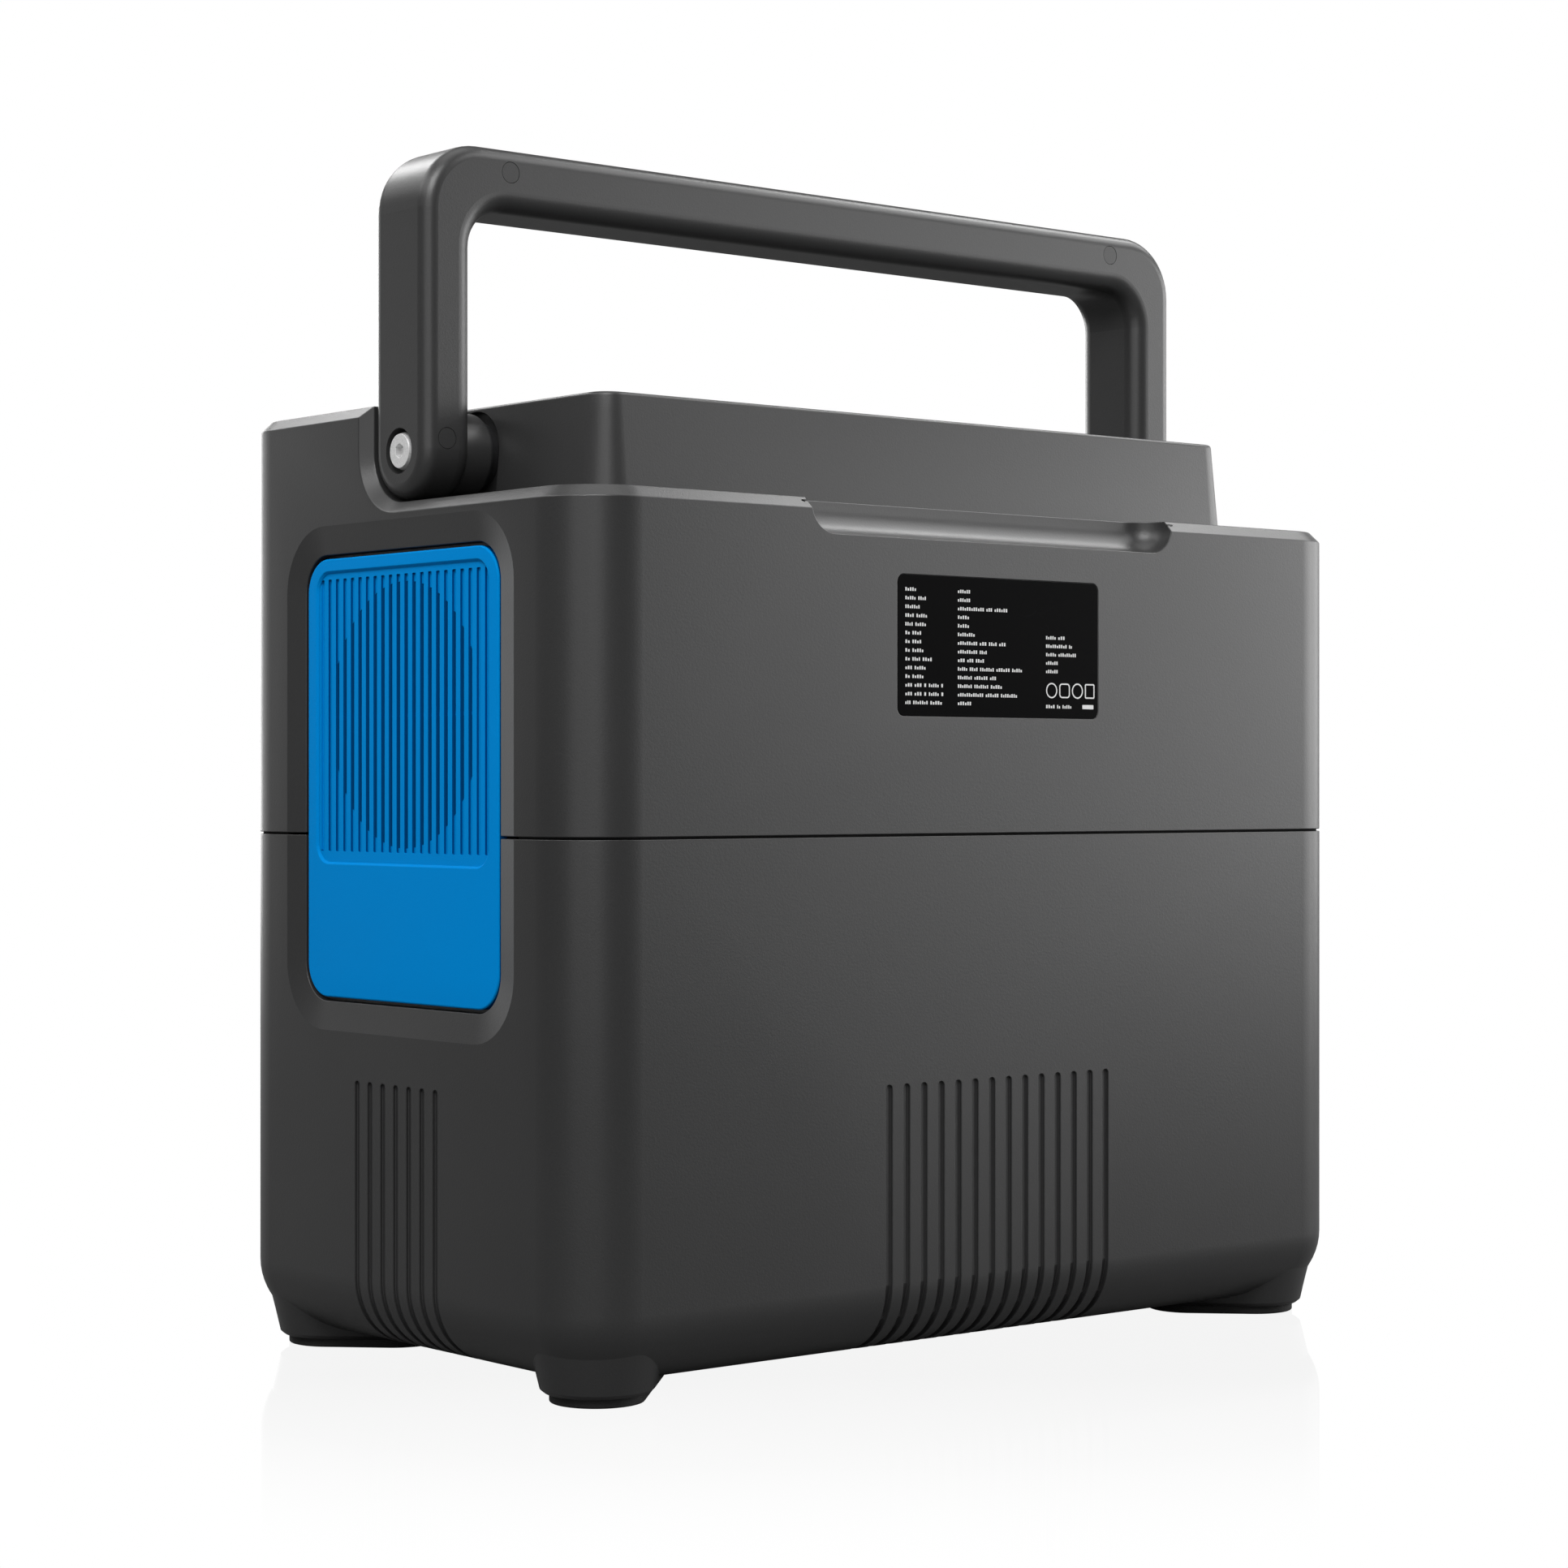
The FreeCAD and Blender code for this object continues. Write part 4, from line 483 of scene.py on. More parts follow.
class Kind(Enum):
    """The finishes of this object's pieces."""

    CASE = Finish("case_moulding", (0.019, 0.019, 0.0192), (0.025, 0.025, 0.0252), roughness=0.37,
                  spread=0.02, pitch=1700.0, depth=0.00002, specular=0.5, rub=0.12, dust=0.02)
    HANDLE = Finish("handle_moulding", (0.019, 0.019, 0.0192), (0.025, 0.025, 0.0252), roughness=0.35,
                    spread=0.02, pitch=1900.0, depth=0.00002, specular=0.5, rub=0.2, dust=0.02)
    PLUG = Finish("plug_moulding", (0.016, 0.016, 0.0162), (0.021, 0.021, 0.0212), roughness=0.4,
                  pitch=2300.0, depth=0.00002)
    SEAM = Finish("seam_foam", (0.004, 0.004, 0.004), (0.008, 0.008, 0.008), roughness=0.9,
                  pitch=3000.0, depth=0.0001, specular=0.2, rub=0.0, dust=0.0)
    PANEL = Finish("panel_blue", (0.0, 0.194, 0.53), (0.0, 0.205, 0.555), roughness=0.45, spread=0.02,
                   pitch=1900.0, depth=0.00002, specular=0.01, rub=0.0, dust=0.0)
    # Painted shade: a darker blue that stands in for the shadow on the walls of the side panels' open
    # slots.
    PANEL_PAINTED_SHADE = Finish("panel_blue_painted_shade", (0.0, 0.06, 0.21), (0.0, 0.07, 0.24), roughness=0.5,
                        pitch=1900.0, depth=0.00002, specular=0.0, rub=0.0, dust=0.0)
    PLATE = Finish("plate_gloss", (0.0004, 0.0004, 0.0005), (0.0008, 0.0008, 0.001), roughness=0.3,
                   pitch=900.0, depth=0.000002, specular=0.02, rub=0.2, dust=0.0)
    PRINT = Finish("white_print", (0.55, 0.55, 0.55), (0.7, 0.7, 0.7), roughness=0.5, pitch=5000.0,
                   depth=0.000005, rub=0.0, dust=0.0)
    FRONT = Finish("front_moulding", (0.012, 0.0122, 0.013), (0.018, 0.0182, 0.019), roughness=0.4,
                   pitch=2200.0, depth=0.00002, rub=0.15)
    BUTTON = Finish("button_moulding", (0.05, 0.051, 0.053), (0.064, 0.065, 0.067), roughness=0.42,
                    pitch=2600.0, depth=0.000015, rub=0.4)
    WINDOW = TintedWindow("display_window", (0.12, 0.13, 0.14), (0.16, 0.17, 0.18), roughness=0.04,
                          spread=0.01, pitch=300.0, depth=0.000001, rub=0.1, dust=0.0)
    SCREEN = Finish("display_screen", (0.004, 0.005, 0.006), (0.007, 0.008, 0.01), roughness=0.3,
                    pitch=4000.0, depth=0.000002, rub=0.0, dust=0.0)
    LIT = LitMark("display_segment", (0.3, 0.6, 0.7), (0.35, 0.65, 0.75), pitch=4000.0, rub=0.0, dust=0.0)
    LAMP = LitMark("green_lamp", (0.02, 0.3, 0.08), (0.03, 0.35, 0.1), pitch=4000.0, rub=0.0, dust=0.0,
                   glow=(0.05, 0.9, 0.2), strength=0.8)
    RUBBER = Finish("foot_rubber", (0.006, 0.006, 0.006), (0.012, 0.012, 0.012), roughness=0.72,
                    pitch=1400.0, depth=0.00006, specular=0.35, rub=0.4, dust=0.0)
    BRIGHT = PlatedMetal("bright_plating", (0.62, 0.62, 0.62), (0.74, 0.74, 0.74), roughness=0.34,
                         pitch=2600.0, metallic=0.45)
    ZINC = PlatedMetal("zinc_plating", (0.42, 0.43, 0.44), (0.55, 0.56, 0.57), roughness=0.38,
                       pitch=1800.0, metallic=1.0)
    NYLON = Finish("black_nylon", (0.008, 0.008, 0.009), (0.016, 0.016, 0.017), roughness=0.42,
                   pitch=1600.0, depth=0.00002)
    FAN = Finish("fan_moulding", (0.01, 0.01, 0.011), (0.018, 0.018, 0.019), roughness=0.5,
                 pitch=1500.0, depth=0.00003)
    CELL = Finish("cell_sleeve", (0.02, 0.16, 0.12), (0.03, 0.22, 0.16), roughness=0.3, pitch=800.0,
                  depth=0.00001, coat=0.4)
    HOLDER = Finish("holder_moulding", (0.02, 0.02, 0.021), (0.03, 0.03, 0.031), roughness=0.55)
    NICKEL = PlatedMetal("nickel_strip", (0.6, 0.58, 0.52), (0.7, 0.68, 0.62), roughness=0.3,
                         pitch=1500.0, metallic=1.0)
    COPPER = PlatedMetal("copper_bar", (0.72, 0.38, 0.22), (0.8, 0.46, 0.28), roughness=0.32,
                         pitch=1500.0, metallic=1.0)
    BOARD = CircuitBoard("solder_mask", (0.01, 0.1, 0.045), (0.015, 0.13, 0.06), roughness=0.35,
                         pitch=2500.0, depth=0.00001, coat=0.3)
    ALUMINIUM = PlatedMetal("plain_aluminium", (0.66, 0.67, 0.68), (0.76, 0.77, 0.78), roughness=0.36,
                            pitch=1200.0, metallic=1.0)
    FERRITE = Finish("wound_core", (0.05, 0.03, 0.02), (0.12, 0.06, 0.03), roughness=0.45, pitch=900.0,
                     depth=0.0001)
    CAN = Finish("capacitor_sleeve", (0.01, 0.012, 0.05), (0.016, 0.02, 0.07), roughness=0.28,
                 pitch=900.0, depth=0.00001, coat=0.3)
    SOCKET = Finish("socket_moulding", (0.013, 0.013, 0.014), (0.02, 0.02, 0.021), roughness=0.34,
                    pitch=2600.0, depth=0.000012, rub=0.3)
    PORT = PlatedMetal("port_plating", (0.55, 0.55, 0.56), (0.66, 0.66, 0.67), roughness=0.3,
                       pitch=3200.0, metallic=1.0)


def dress_node(name: str, kind: Kind) -> bpy.types.Object:
    """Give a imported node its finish.

    Args:
        name: the node's name.
        kind: the finish.

    Returns:
        The node's object.
    """
    item = frame["nodes"][name]
    item.data.materials.clear()
    item.data.materials.append(kind.value.build())
    return item


def link_piece(name: str, mesh: bpy.types.Mesh) -> bpy.types.Object:
    """Put a mesh into the scene as a piece at the origin.

    Args:
        name: the piece's name.
        mesh: its mesh.

    Returns:
        The piece.
    """
    piece = bpy.data.objects.new(name, mesh)
    bpy.context.scene.collection.objects.link(piece)
    return piece


def slot_of(node: str) -> str:
    """Find the record's material slot of a node.

    Args:
        node: the node's name.

    Returns:
        The slot's name.
    """
    for entry in frame["record"]["subparts"]:
        if entry["node"] == node:
            return entry["material_slot"]
    raise KeyError(node)


@dataclass
class FinishedCopy:
    """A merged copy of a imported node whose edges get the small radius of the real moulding.

    Attributes:
        node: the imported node.
        kind: its finish.
        body: the body that it rides on.
        radius: the edge radius in metres.
        segments: steps across the radius.
        angle: edges sharper than this get the radius, in degrees.
        crisp: edges sharper than this keep a crisp line in the shading, in degrees.
    """

    node: str
    kind: Kind
    body: str
    radius: float = 0.0003
    segments: int = 2
    angle: float = 32.0
    crisp: float = 30.0

    def build(self) -> bpy.types.Object:
        """Make the copy and let it stand for the node.

        Returns:
            The finished piece.
        """
        work = bmesh.new()
        work.from_mesh(frame["nodes"][self.node].data)
        bmesh.ops.remove_doubles(work, verts=work.verts, dist=MERGE_GAP)
        bmesh.ops.dissolve_limit(work, angle_limit=FLAT_ANGLE, verts=work.verts, edges=work.edges)
        for face in work.faces:
            face.smooth = True
        mesh = bpy.data.meshes.new(self.node + "_finished")
        work.to_mesh(mesh)
        work.free()
        stale = mesh.attributes.get("custom_normal")
        if stale:
            mesh.attributes.remove(stale)
        mesh.set_sharp_from_angle(angle=math.radians(self.crisp))
        mesh.materials.append(self.kind.value.build())
        self.paint_depth_shade(mesh)
        piece = link_piece(self.node + "_finished", mesh)
        bevel = piece.modifiers.new("edge_radius", "BEVEL")
        bevel.width = self.radius
        bevel.segments = self.segments
        bevel.limit_method = "ANGLE"
        bevel.angle_limit = math.radians(self.angle)
        bevel.use_clamp_overlap = False
        bevel.harden_normals = True
        bevel.miter_outer = "MITER_ARC"
        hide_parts(self.node)
        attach(piece, self.body)
        return piece

    def paint_depth_shade(self, mesh: bpy.types.Mesh) -> None:
        """A piece of one finish gets no painted shade."""


@dataclass
class GrillePanel(FinishedCopy):
    """A side panel whose open slots have walls painted a darker blue, a painted shade that stands in for
    the shadow inside the slots.

    Attributes:
        sink: how far below the face the painted shade starts.
    """

    sink: float = 0.00125

    def paint_depth_shade(self, mesh: bpy.types.Mesh) -> None:
        """Paint shade on the slots' walls with a darker blue finish.

        Args:
            mesh: the panel's mesh.
        """
        mesh.materials.append(Kind.PANEL_PAINTED_SHADE.value.build())
        low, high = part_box(self.node)
        face = max(abs(low.x), abs(high.x))
        for polygon in mesh.polygons:
            # Painted shade: upright faces below the panel's face take the darker blue.
            if abs(polygon.normal.x) < 0.5 and abs(polygon.center.x) < face - self.sink:
                polygon.material_index = 1


# --- printed marks --------------------------------------------------------------------------------
@dataclass
class PrintSheet:
    """Flat printed marks that lie on one upright face.

    Attributes:
        name: the piece's name.
        level: the face's Y.
        outward: -1 for a face towards -Y and 1 for one towards +Y.
        body: the body that the marks ride on.
        slot: the record's material slot; not used.
        kind: the ink's finish.
        thickness: the ink's thickness.
        work: the mesh under construction.
    """

    name: str
    level: float
    outward: int
    body: str
    slot: str
    kind: Kind = Kind.PRINT
    thickness: float = 0.00006
    work: bmesh.types.BMesh = field(default_factory=bmesh.new)

    def outline(self, points: Outline) -> None:
        """Fill a closed outline.

        Args:
            points: (x, z) pairs, anticlockwise when seen from -Y.
        """
        front = self.level + self.outward * self.thickness * 0.6
        ordered = points if self.outward < 0 else points[::-1]
        self.work.faces.new([self.work.verts.new((x, front, z)) for x, z in ordered])

    def bar(self, left: float, low: float, width: float, height: float, rounding: float = 0.0,
            steps: int = 3) -> None:
        """Fill a bar with rounded corners.

        Args:
            left: the smallest X.
            low: the smallest Z.
            width: the size along X.
            height: the size along Z.
            rounding: the corner radius.
            steps: the points in each corner.
        """
        self.outline(rounded_outline(left + width / 2, low + height / 2, width, height, rounding, steps))

    def band(self, outer: Outline, inner: Outline, closed: bool = True) -> None:
        """Fill the band between two outlines with equal counts of points.

        Args:
            outer: the outer outline, anticlockwise when seen from -Y.
            inner: the inner outline, in step with it.
            closed: whether the band joins its own start.
        """
        count = len(outer)
        for index in range(count if closed else count - 1):
            following = (index + 1) % count
            self.outline([outer[index], outer[following], inner[following], inner[index]])

    def ring(self, x: float, z: float, radius: float, width: float, start: float = 0.0,
             sweep: float = 360.0, steps: int = 40) -> None:
        """Fill a ring or a part of one.

        Args:
            x: the centre's X.
            z: the centre's Z.
            radius: the outer radius.
            width: the ring's width.
            start: the first angle in degrees.
            sweep: the angle it covers.
            steps: the points on it.
        """
        closed = sweep >= 360.0
        count = steps if closed else steps + 1
        angles = [math.radians(start + sweep * index / steps) for index in range(count)]
        outer = [(x + radius * math.cos(a), z + radius * math.sin(a)) for a in angles]
        inner = [(x + (radius - width) * math.cos(a), z + (radius - width) * math.sin(a)) for a in angles]
        self.band(outer, inner, closed)

    def frame(self, x: float, z: float, width: float, height: float, rounding: float,
              line: float) -> None:
        """Fill a thin rounded frame.

        Args:
            x: the centre's X.
            z: the centre's Z.
            width: the outer size along X.
            height: the outer size along Z.
            rounding: the outer corner radius.
            line: the line's width.
        """
        self.band(rounded_outline(x, z, width, height, rounding, 5),
                  rounded_outline(x, z, width - 2 * line, height - 2 * line,
                                  max(rounding - line, 0.2 * line), 5))

    def finish(self) -> bpy.types.Object:
        """Close the marks into thin solids and let them ride.

        Returns:
            The finished piece.
        """
        bmesh.ops.remove_doubles(self.work, verts=self.work.verts, dist=1e-7)
        mesh = bpy.data.meshes.new(self.name)
        self.work.to_mesh(mesh)
        self.work.free()
        mesh.materials.append(self.kind.value.build())
        piece = link_piece(self.name, mesh)
        solid = piece.modifiers.new("ink", "SOLIDIFY")
        solid.thickness = self.thickness
        solid.offset = -1.0
        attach(piece, self.body)
        return piece


def rounded_outline(x: float, z: float, width: float, height: float, rounding: float,
                    steps: int) -> Outline:
    """Points of a rounded rectangle, anticlockwise when seen from -Y.

    Args:
        x: the centre's X.
        z: the centre's Z.
        width: the size along X.
        height: the size along Z.
        rounding: the corner radius.
        steps: the points in each corner.

    Returns:
        (x, z) pairs.
    """
    if rounding <= 0:
        return [(x - width / 2, z - height / 2), (x + width / 2, z - height / 2),
                (x + width / 2, z + height / 2), (x - width / 2, z + height / 2)]
    points = []
    for sign_x, sign_z, start in ((1, -1, -90), (1, 1, 0), (-1, 1, 90), (-1, -1, 180)):
        centre_x = x + sign_x * (width / 2 - rounding)
        centre_z = z + sign_z * (height / 2 - rounding)
        for index in range(steps + 1):
            angle = math.radians(start + 90 * index / steps)
            points.append((centre_x + rounding * math.cos(angle), centre_z + rounding * math.sin(angle)))
    return points


# --- sub-assemblies -------------------------------------------------------------------------------
@dataclass
class CaseShells:
    """The two moulded shells, the seam strip, the feet and the screws under them."""

    body: str = "case"

    def build(self) -> list[bpy.types.Object]:
        """Dress the shells and the feet.

        Returns:
            The pieces.
        """
        pieces = [FinishedCopy("lower_shell", Kind.CASE, self.body, 0.00022, 2, crisp=9.2).build(),
                  FinishedCopy("upper_shell", Kind.CASE, self.body, 0.0003, 3, crisp=9.2).build(),
                  dress_node("seam_gasket", Kind.SEAM), dress_node("case_screws", Kind.ZINC)]
        for end in ("front", "rear"):
            for side in ("left", "right"):
                pieces.append(dress_node(f"foot_pad_{end}_{side}", Kind.RUBBER))
        return pieces


@dataclass
class CarryHandle:
    """The folding loop handle, its plugs and its two pivots."""

    body: str = "carry_handle"

    def build(self) -> list[bpy.types.Object]:
        """Dress the handle and its pivots.

        Returns:
            The pieces.
        """
        pieces = [dress_node("handle", Kind.HANDLE), dress_node("handle_plugs", Kind.PLUG),
                  dress_node("pivot_nuts", Kind.ZINC)]
        for side in ("left", "right"):
            pieces.append(FinishedCopy(f"pivot_screw_{side}", Kind.BRIGHT, "case", 0.00012).build())
            pieces.append(dress_node(f"pivot_washer_{side}", Kind.NYLON))
            pieces.append(dress_node(f"pivot_bush_{side}", Kind.NYLON))
            pieces.append(dress_node(f"pivot_bracket_{side}", Kind.ZINC))
        return pieces


@dataclass
class SideGrilles:
    """The blue side panels with the fans behind them."""

    body: str = "case"

    def build(self) -> list[bpy.types.Object]:
        """Dress the panels and the fans.

        Returns:
            The pieces.
        """
        pieces = [dress_node("fan_screws", Kind.ZINC)]
        for side in ("left", "right"):
            pieces.append(GrillePanel(f"side_panel_{side}", Kind.PANEL, self.body, 0.00015, 2).build())
            pieces.append(dress_node(f"fan_frame_{side}", Kind.FAN))
            pieces.append(dress_node(f"fan_rotor_{side}", Kind.FAN))
        return pieces


@dataclass
class RatingPlate:
    """The gloss black plate on the back, with plain bars that stand for rows of print.

    Attributes:
        body: the body that it rides on.
        rows: for each row from the top, the word lengths of the first and second column, in mm.
        side_rows: the word lengths of the short block on the right, in mm.
        pitch: from row to row, in mm.
        letter: the height of a stroke, in mm.
        stroke: from stroke to stroke, in mm.
        gap: from word to word, in mm.
        squeeze: what the word lengths are multiplied by.
        side_squeeze: the same in the short block.
        margins: from the plate's left and top edges to the first row, in mm.
        columns: from the first column to the second and to the short block, in mm.
        side_start: the row that the short block starts beside.
        signs_rise: the plain shapes' middle above the plate's lower edge, in mm.
    """

    body: str = "case"
    rows: tuple[tuple[tuple[float, ...], tuple[float, ...]], ...] = (
        ((6.2,), (7.2,)), ((6.0, 4.6), (7.2,)), ((8.2,), (15.0, 3.6, 7.6)), ((5.0, 6.2), (6.6,)),
        ((4.4, 6.2), (6.6,)), ((2.8, 5.2), (9.8,)), ((2.8, 5.2), (11.2, 4.2, 4.8, 4.0)),
        ((2.8, 6.4), (11.2, 4.4)), ((2.8, 4.6, 5.4), (4.2, 3.8, 5.0)),
        ((4.0, 6.4), (5.6, 4.8, 8.2, 8.0, 6.0)),
        ((2.8, 6.4), (8.2, 7.8, 3.8)), ((4.0, 4.2, 1.6, 5.8, 1.4), (8.2, 8.2, 6.8)),
        ((4.0, 4.2, 1.6, 5.8, 1.6), (14.6, 7.6, 9.6)), ((3.2, 8.4, 6.8), (7.8,)))
    side_rows: tuple[tuple[float, ...], ...] = ((6.6, 4.6), (13.6, 2.2), (6.8, 11.6), (7.8,), (7.8,))
    pitch: float = 2.62
    letter: float = 1.05
    stroke: float = 0.92
    gap: float = 0.75
    squeeze: float = 0.74
    side_squeeze: float = 0.68
    margins: tuple[float, float] = (2.9, 4.3)
    columns: tuple[float, float] = (21.4, 58.6)
    side_start: int = 5
    signs_rise: float = 8.6

    def build(self) -> list[bpy.types.Object]:
        """Dress the plate and print its rows.

        Returns:
            The pieces.
        """
        plate = dress_node("rating_plate", Kind.PLATE)
        low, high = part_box("rating_plate")
        sheet = PrintSheet("rating_plate_print", high.y, 1, self.body, slot_of("rating_plate"))
        left = high.x - self.margins[0] * MM
        second, third = (left - column * MM for column in self.columns)
        top = high.z - self.margins[1] * MM
        for index, (first_words, second_words) in enumerate(self.rows):
            level = top - index * self.pitch * MM
            self.print_words(sheet, left, level, first_words, self.squeeze)
            self.print_words(sheet, second, level, second_words, self.squeeze)
        for index, words in enumerate(self.side_rows, self.side_start):
            self.print_words(sheet, third, top - index * self.pitch * MM, words, self.side_squeeze)
        self.print_signs(sheet, third, low.z + self.signs_rise * MM)
        return [plate, sheet.finish()]

    def print_words(self, sheet: PrintSheet, start: float, level: float, words: tuple[float, ...],
                    squeeze: float) -> None:
        """Print one row of bars, broken into short strokes that can't be read.

        Args:
            sheet: the marks to add to.
            start: the row's first X, from which it runs towards -X.
            level: the row's middle Z.
            words: the bars' lengths in mm.
            squeeze: what the lengths are multiplied by.
        """
        x = start
        for word in words:
            strokes = max(1, round(word * squeeze / self.stroke))
            step = word * squeeze * MM / strokes
            for index in range(strokes):
                tall = self.letter * (1.0 if (index * 7 + strokes) % 3 else 0.72) * MM
                sheet.bar(x - (index + 0.8) * step, level - self.letter * MM / 2, step * 0.6, tall)
            x -= (word * squeeze + self.gap) * MM

    def print_signs(self, sheet: PrintSheet, start: float, level: float) -> None:
        """Print a row of plain shapes and a bar under them.

        Args:
            sheet: the marks to add to.
            start: the row's first X, from which it runs towards -X.
            level: the row's middle Z.
        """
        line = 0.42 * MM
        sheet.ring(start - 2.6 * MM, level, 2.4 * MM, line)
        sheet.frame(start - 8.2 * MM, level, 4.6 * MM, 4.6 * MM, 1.2 * MM, line)
        sheet.ring(start - 13.8 * MM, level, 2.4 * MM, line)
        sheet.frame(start - 19.2 * MM, level, 4.2 * MM, 4.6 * MM, 0.5 * MM, line)
        self.print_words(sheet, start, level - 5.0 * MM, (5.4, 2.2, 5.6), self.squeeze)
        sheet.bar(start - 20.8 * MM, level - 5.6 * MM, 4.8 * MM, 1.3 * MM, 0.1 * MM)


@dataclass
class SocketPanel:
    """The front panel with its window, buttons, sockets and jacks.

    Attributes:
        body: the body that it rides on.
        digit_parts: the lit parts of each digit of the display's number.
        sign_line: the line width of the buttons' signs.
        group_margin: from a group of sockets to the frame round it, in mm.
        mains_margin: the same for the mains sockets.
    """

    body: str = "case"
    digit_parts: tuple[tuple[int, ...], ...] = ((1, 2), (0, 1, 2, 3, 4, 5), (0, 1, 2, 3, 4, 5))
    sign_line: float = 0.5 * MM
    group_margin: float = 3.6
    mains_margin: float = 5.0

    def build(self) -> list[bpy.types.Object]:
        """Dress the panel and print its marks.

        Returns:
            The pieces.
        """
        pieces = [FinishedCopy("front_panel", Kind.FRONT, self.body, 0.00035, 3).build(),
                  FinishedCopy("display_lens", Kind.WINDOW, self.body, 0.0004, 3).build(),
                  dress_node("display_module", Kind.SCREEN), dress_node("control_board", Kind.BOARD),
                  FinishedCopy("ac_inlet", Kind.SOCKET, self.body, 0.0004, 3).build(),
                  FinishedCopy("car_socket", Kind.SOCKET, self.body, 0.0004, 3).build(),
                  FinishedCopy("dc_input_jack", Kind.SOCKET, self.body, 0.0003).build(),
                  dress_node("dc_jacks", Kind.PORT), dress_node("usb_a_ports", Kind.PORT),
                  dress_node("usb_c_ports", Kind.PORT)]
        for side in ("left", "right"):
            pieces.append(FinishedCopy(f"ac_socket_{side}", Kind.SOCKET, self.body, 0.0004, 3).build())
        for name in ("power", "ac", "usb", "dc"):
            button = FinishedCopy(f"{name}_button", Kind.BUTTON, f"{name}_push", 0.0006, 4)
            pieces.append(button.build())
            pieces.append(self.button_mark(name))
            pieces.append(self.button_lamp(name))
        pieces.append(self.panel_print())
        pieces.append(self.screen_marks())
        return pieces

    def button_mark(self, name: str) -> bpy.types.Object:
        """Print the sign on a button's cap.

        Args:
            name: the button's short name.

        Returns:
            The printed piece.
        """
        low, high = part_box(f"{name}_button")
        x, z = (low.x + high.x) / 2, (low.z + high.z) / 2
        sheet = PrintSheet(f"{name}_button_sign", low.y, -1, f"{name}_push", slot_of(f"{name}_button"))
        line = self.sign_line
        if name == "power":
            sheet.ring(x, z, 2.9 * MM, line, start=120, sweep=300)
            sheet.bar(x - line / 2, z + 0.6 * MM, line, 2.9 * MM)
        elif name == "ac":
            sheet.ring(x - 1.5 * MM, z, 1.75 * MM, line, start=0, sweep=180, steps=16)
            sheet.ring(x + 1.5 * MM, z, 1.75 * MM, line, start=180, sweep=180, steps=16)
        elif name == "dc":
            sheet.bar(x - 2.8 * MM, z + 0.7 * MM, 5.6 * MM, line)
            for index in range(3):
                sheet.bar(x + (-2.8 + 2.1 * index) * MM, z - 1.0 * MM, 1.4 * MM, line)
        else:
            sheet.frame(x, z, 4.6 * MM, 2.6 * MM, 0.4 * MM, 0.45 * MM)
            sheet.bar(x - 1.2 * MM, z - 0.3 * MM, 2.4 * MM, 0.6 * MM)
        return sheet.finish()

    def button_lamp(self, name: str) -> bpy.types.Object:
        """Set a small lamp above a button.

        Args:
            name: the button's short name.

        Returns:
            The lamp.
        """
        low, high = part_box(f"{name}_button")
        panel_low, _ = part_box("front_panel")
        x, z = (low.x + high.x) / 2, high.z + 3.4 * MM
        sheet = PrintSheet(f"{name}_lamp", panel_low.y, -1, self.body, slot_of("display_module"), Kind.LAMP,
                           thickness=0.0002)
        sheet.bar(x - 2.2 * MM, z - 0.5 * MM, 4.4 * MM, 1.0 * MM, 0.45 * MM, 5)
        return sheet.finish()

    def panel_print(self) -> bpy.types.Object:
        """Print thin frames round the groups of sockets.

        Returns:
            The printed piece.
        """
        low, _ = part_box("front_panel")
        sheet = PrintSheet("front_panel_print", low.y, -1, self.body, slot_of("front_panel"))
        self.group_frame(sheet, ("ac_socket_left", "ac_socket_right"), self.mains_margin)
        for names in (("usb_a_ports", "usb_c_ports"), ("dc_jacks",), ("ac_inlet",), ("car_socket",),
                      ("dc_input_jack",)):
            self.group_frame(sheet, names, self.group_margin)
        return sheet.finish()

    def group_frame(self, sheet: PrintSheet, names: tuple[str, ...], margin: float) -> None:
        """Print one frame round a group of sockets.

        Args:
            sheet: the marks to add to.
            names: the group's nodes.
            margin: the gap to the frame, in mm.
        """
        boxes = [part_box(name) for name in names]
        left, right = min(low.x for low, _ in boxes), max(high.x for _, high in boxes)
        bottom, top = min(low.z for low, _ in boxes), max(high.z for _, high in boxes)
        sheet.frame((left + right) / 2, (bottom + top) / 2, right - left + 2 * margin * MM,
                    top - bottom + 2 * margin * MM, 3.2 * MM, 0.35 * MM)

    def screen_marks(self) -> bpy.types.Object:
        """Light the screen's charge gauge, its number and two load bars.

        Returns:
            The lit piece.
        """
        low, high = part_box("display_module")
        x, z = (low.x + high.x) / 2, (low.z + high.z) / 2
        sheet = PrintSheet("display_marks", low.y, -1, self.body, slot_of("display_module"), Kind.LIT,
                           thickness=0.00008)
        sheet.frame(x - 26 * MM, z + 1.5 * MM, 24 * MM, 11 * MM, 1.6 * MM, 0.6 * MM)
        sheet.bar(x - 13.6 * MM, z - 0.6 * MM, 1.4 * MM, 4.2 * MM, 0.3 * MM)
        for index in range(5):
            sheet.bar(x + (-36.2 + 4.2 * index) * MM, z - 2.2 * MM, 3.4 * MM, 7.4 * MM, 0.4 * MM)
        for index, parts in enumerate(self.digit_parts):
            self.digit(sheet, x + (-5.0 + 9.5 * index) * MM, z + 1.2 * MM, parts)
        for row in range(2):
            for index in range(8):
                sheet.bar(x + (25.0 + 1.9 * index) * MM, z + (3.0 - 6.5 * row) * MM, 1.2 * MM,
                          (3.4 if index < 5 - 2 * row else 0.8) * MM, 0.15 * MM)
        return sheet.finish()

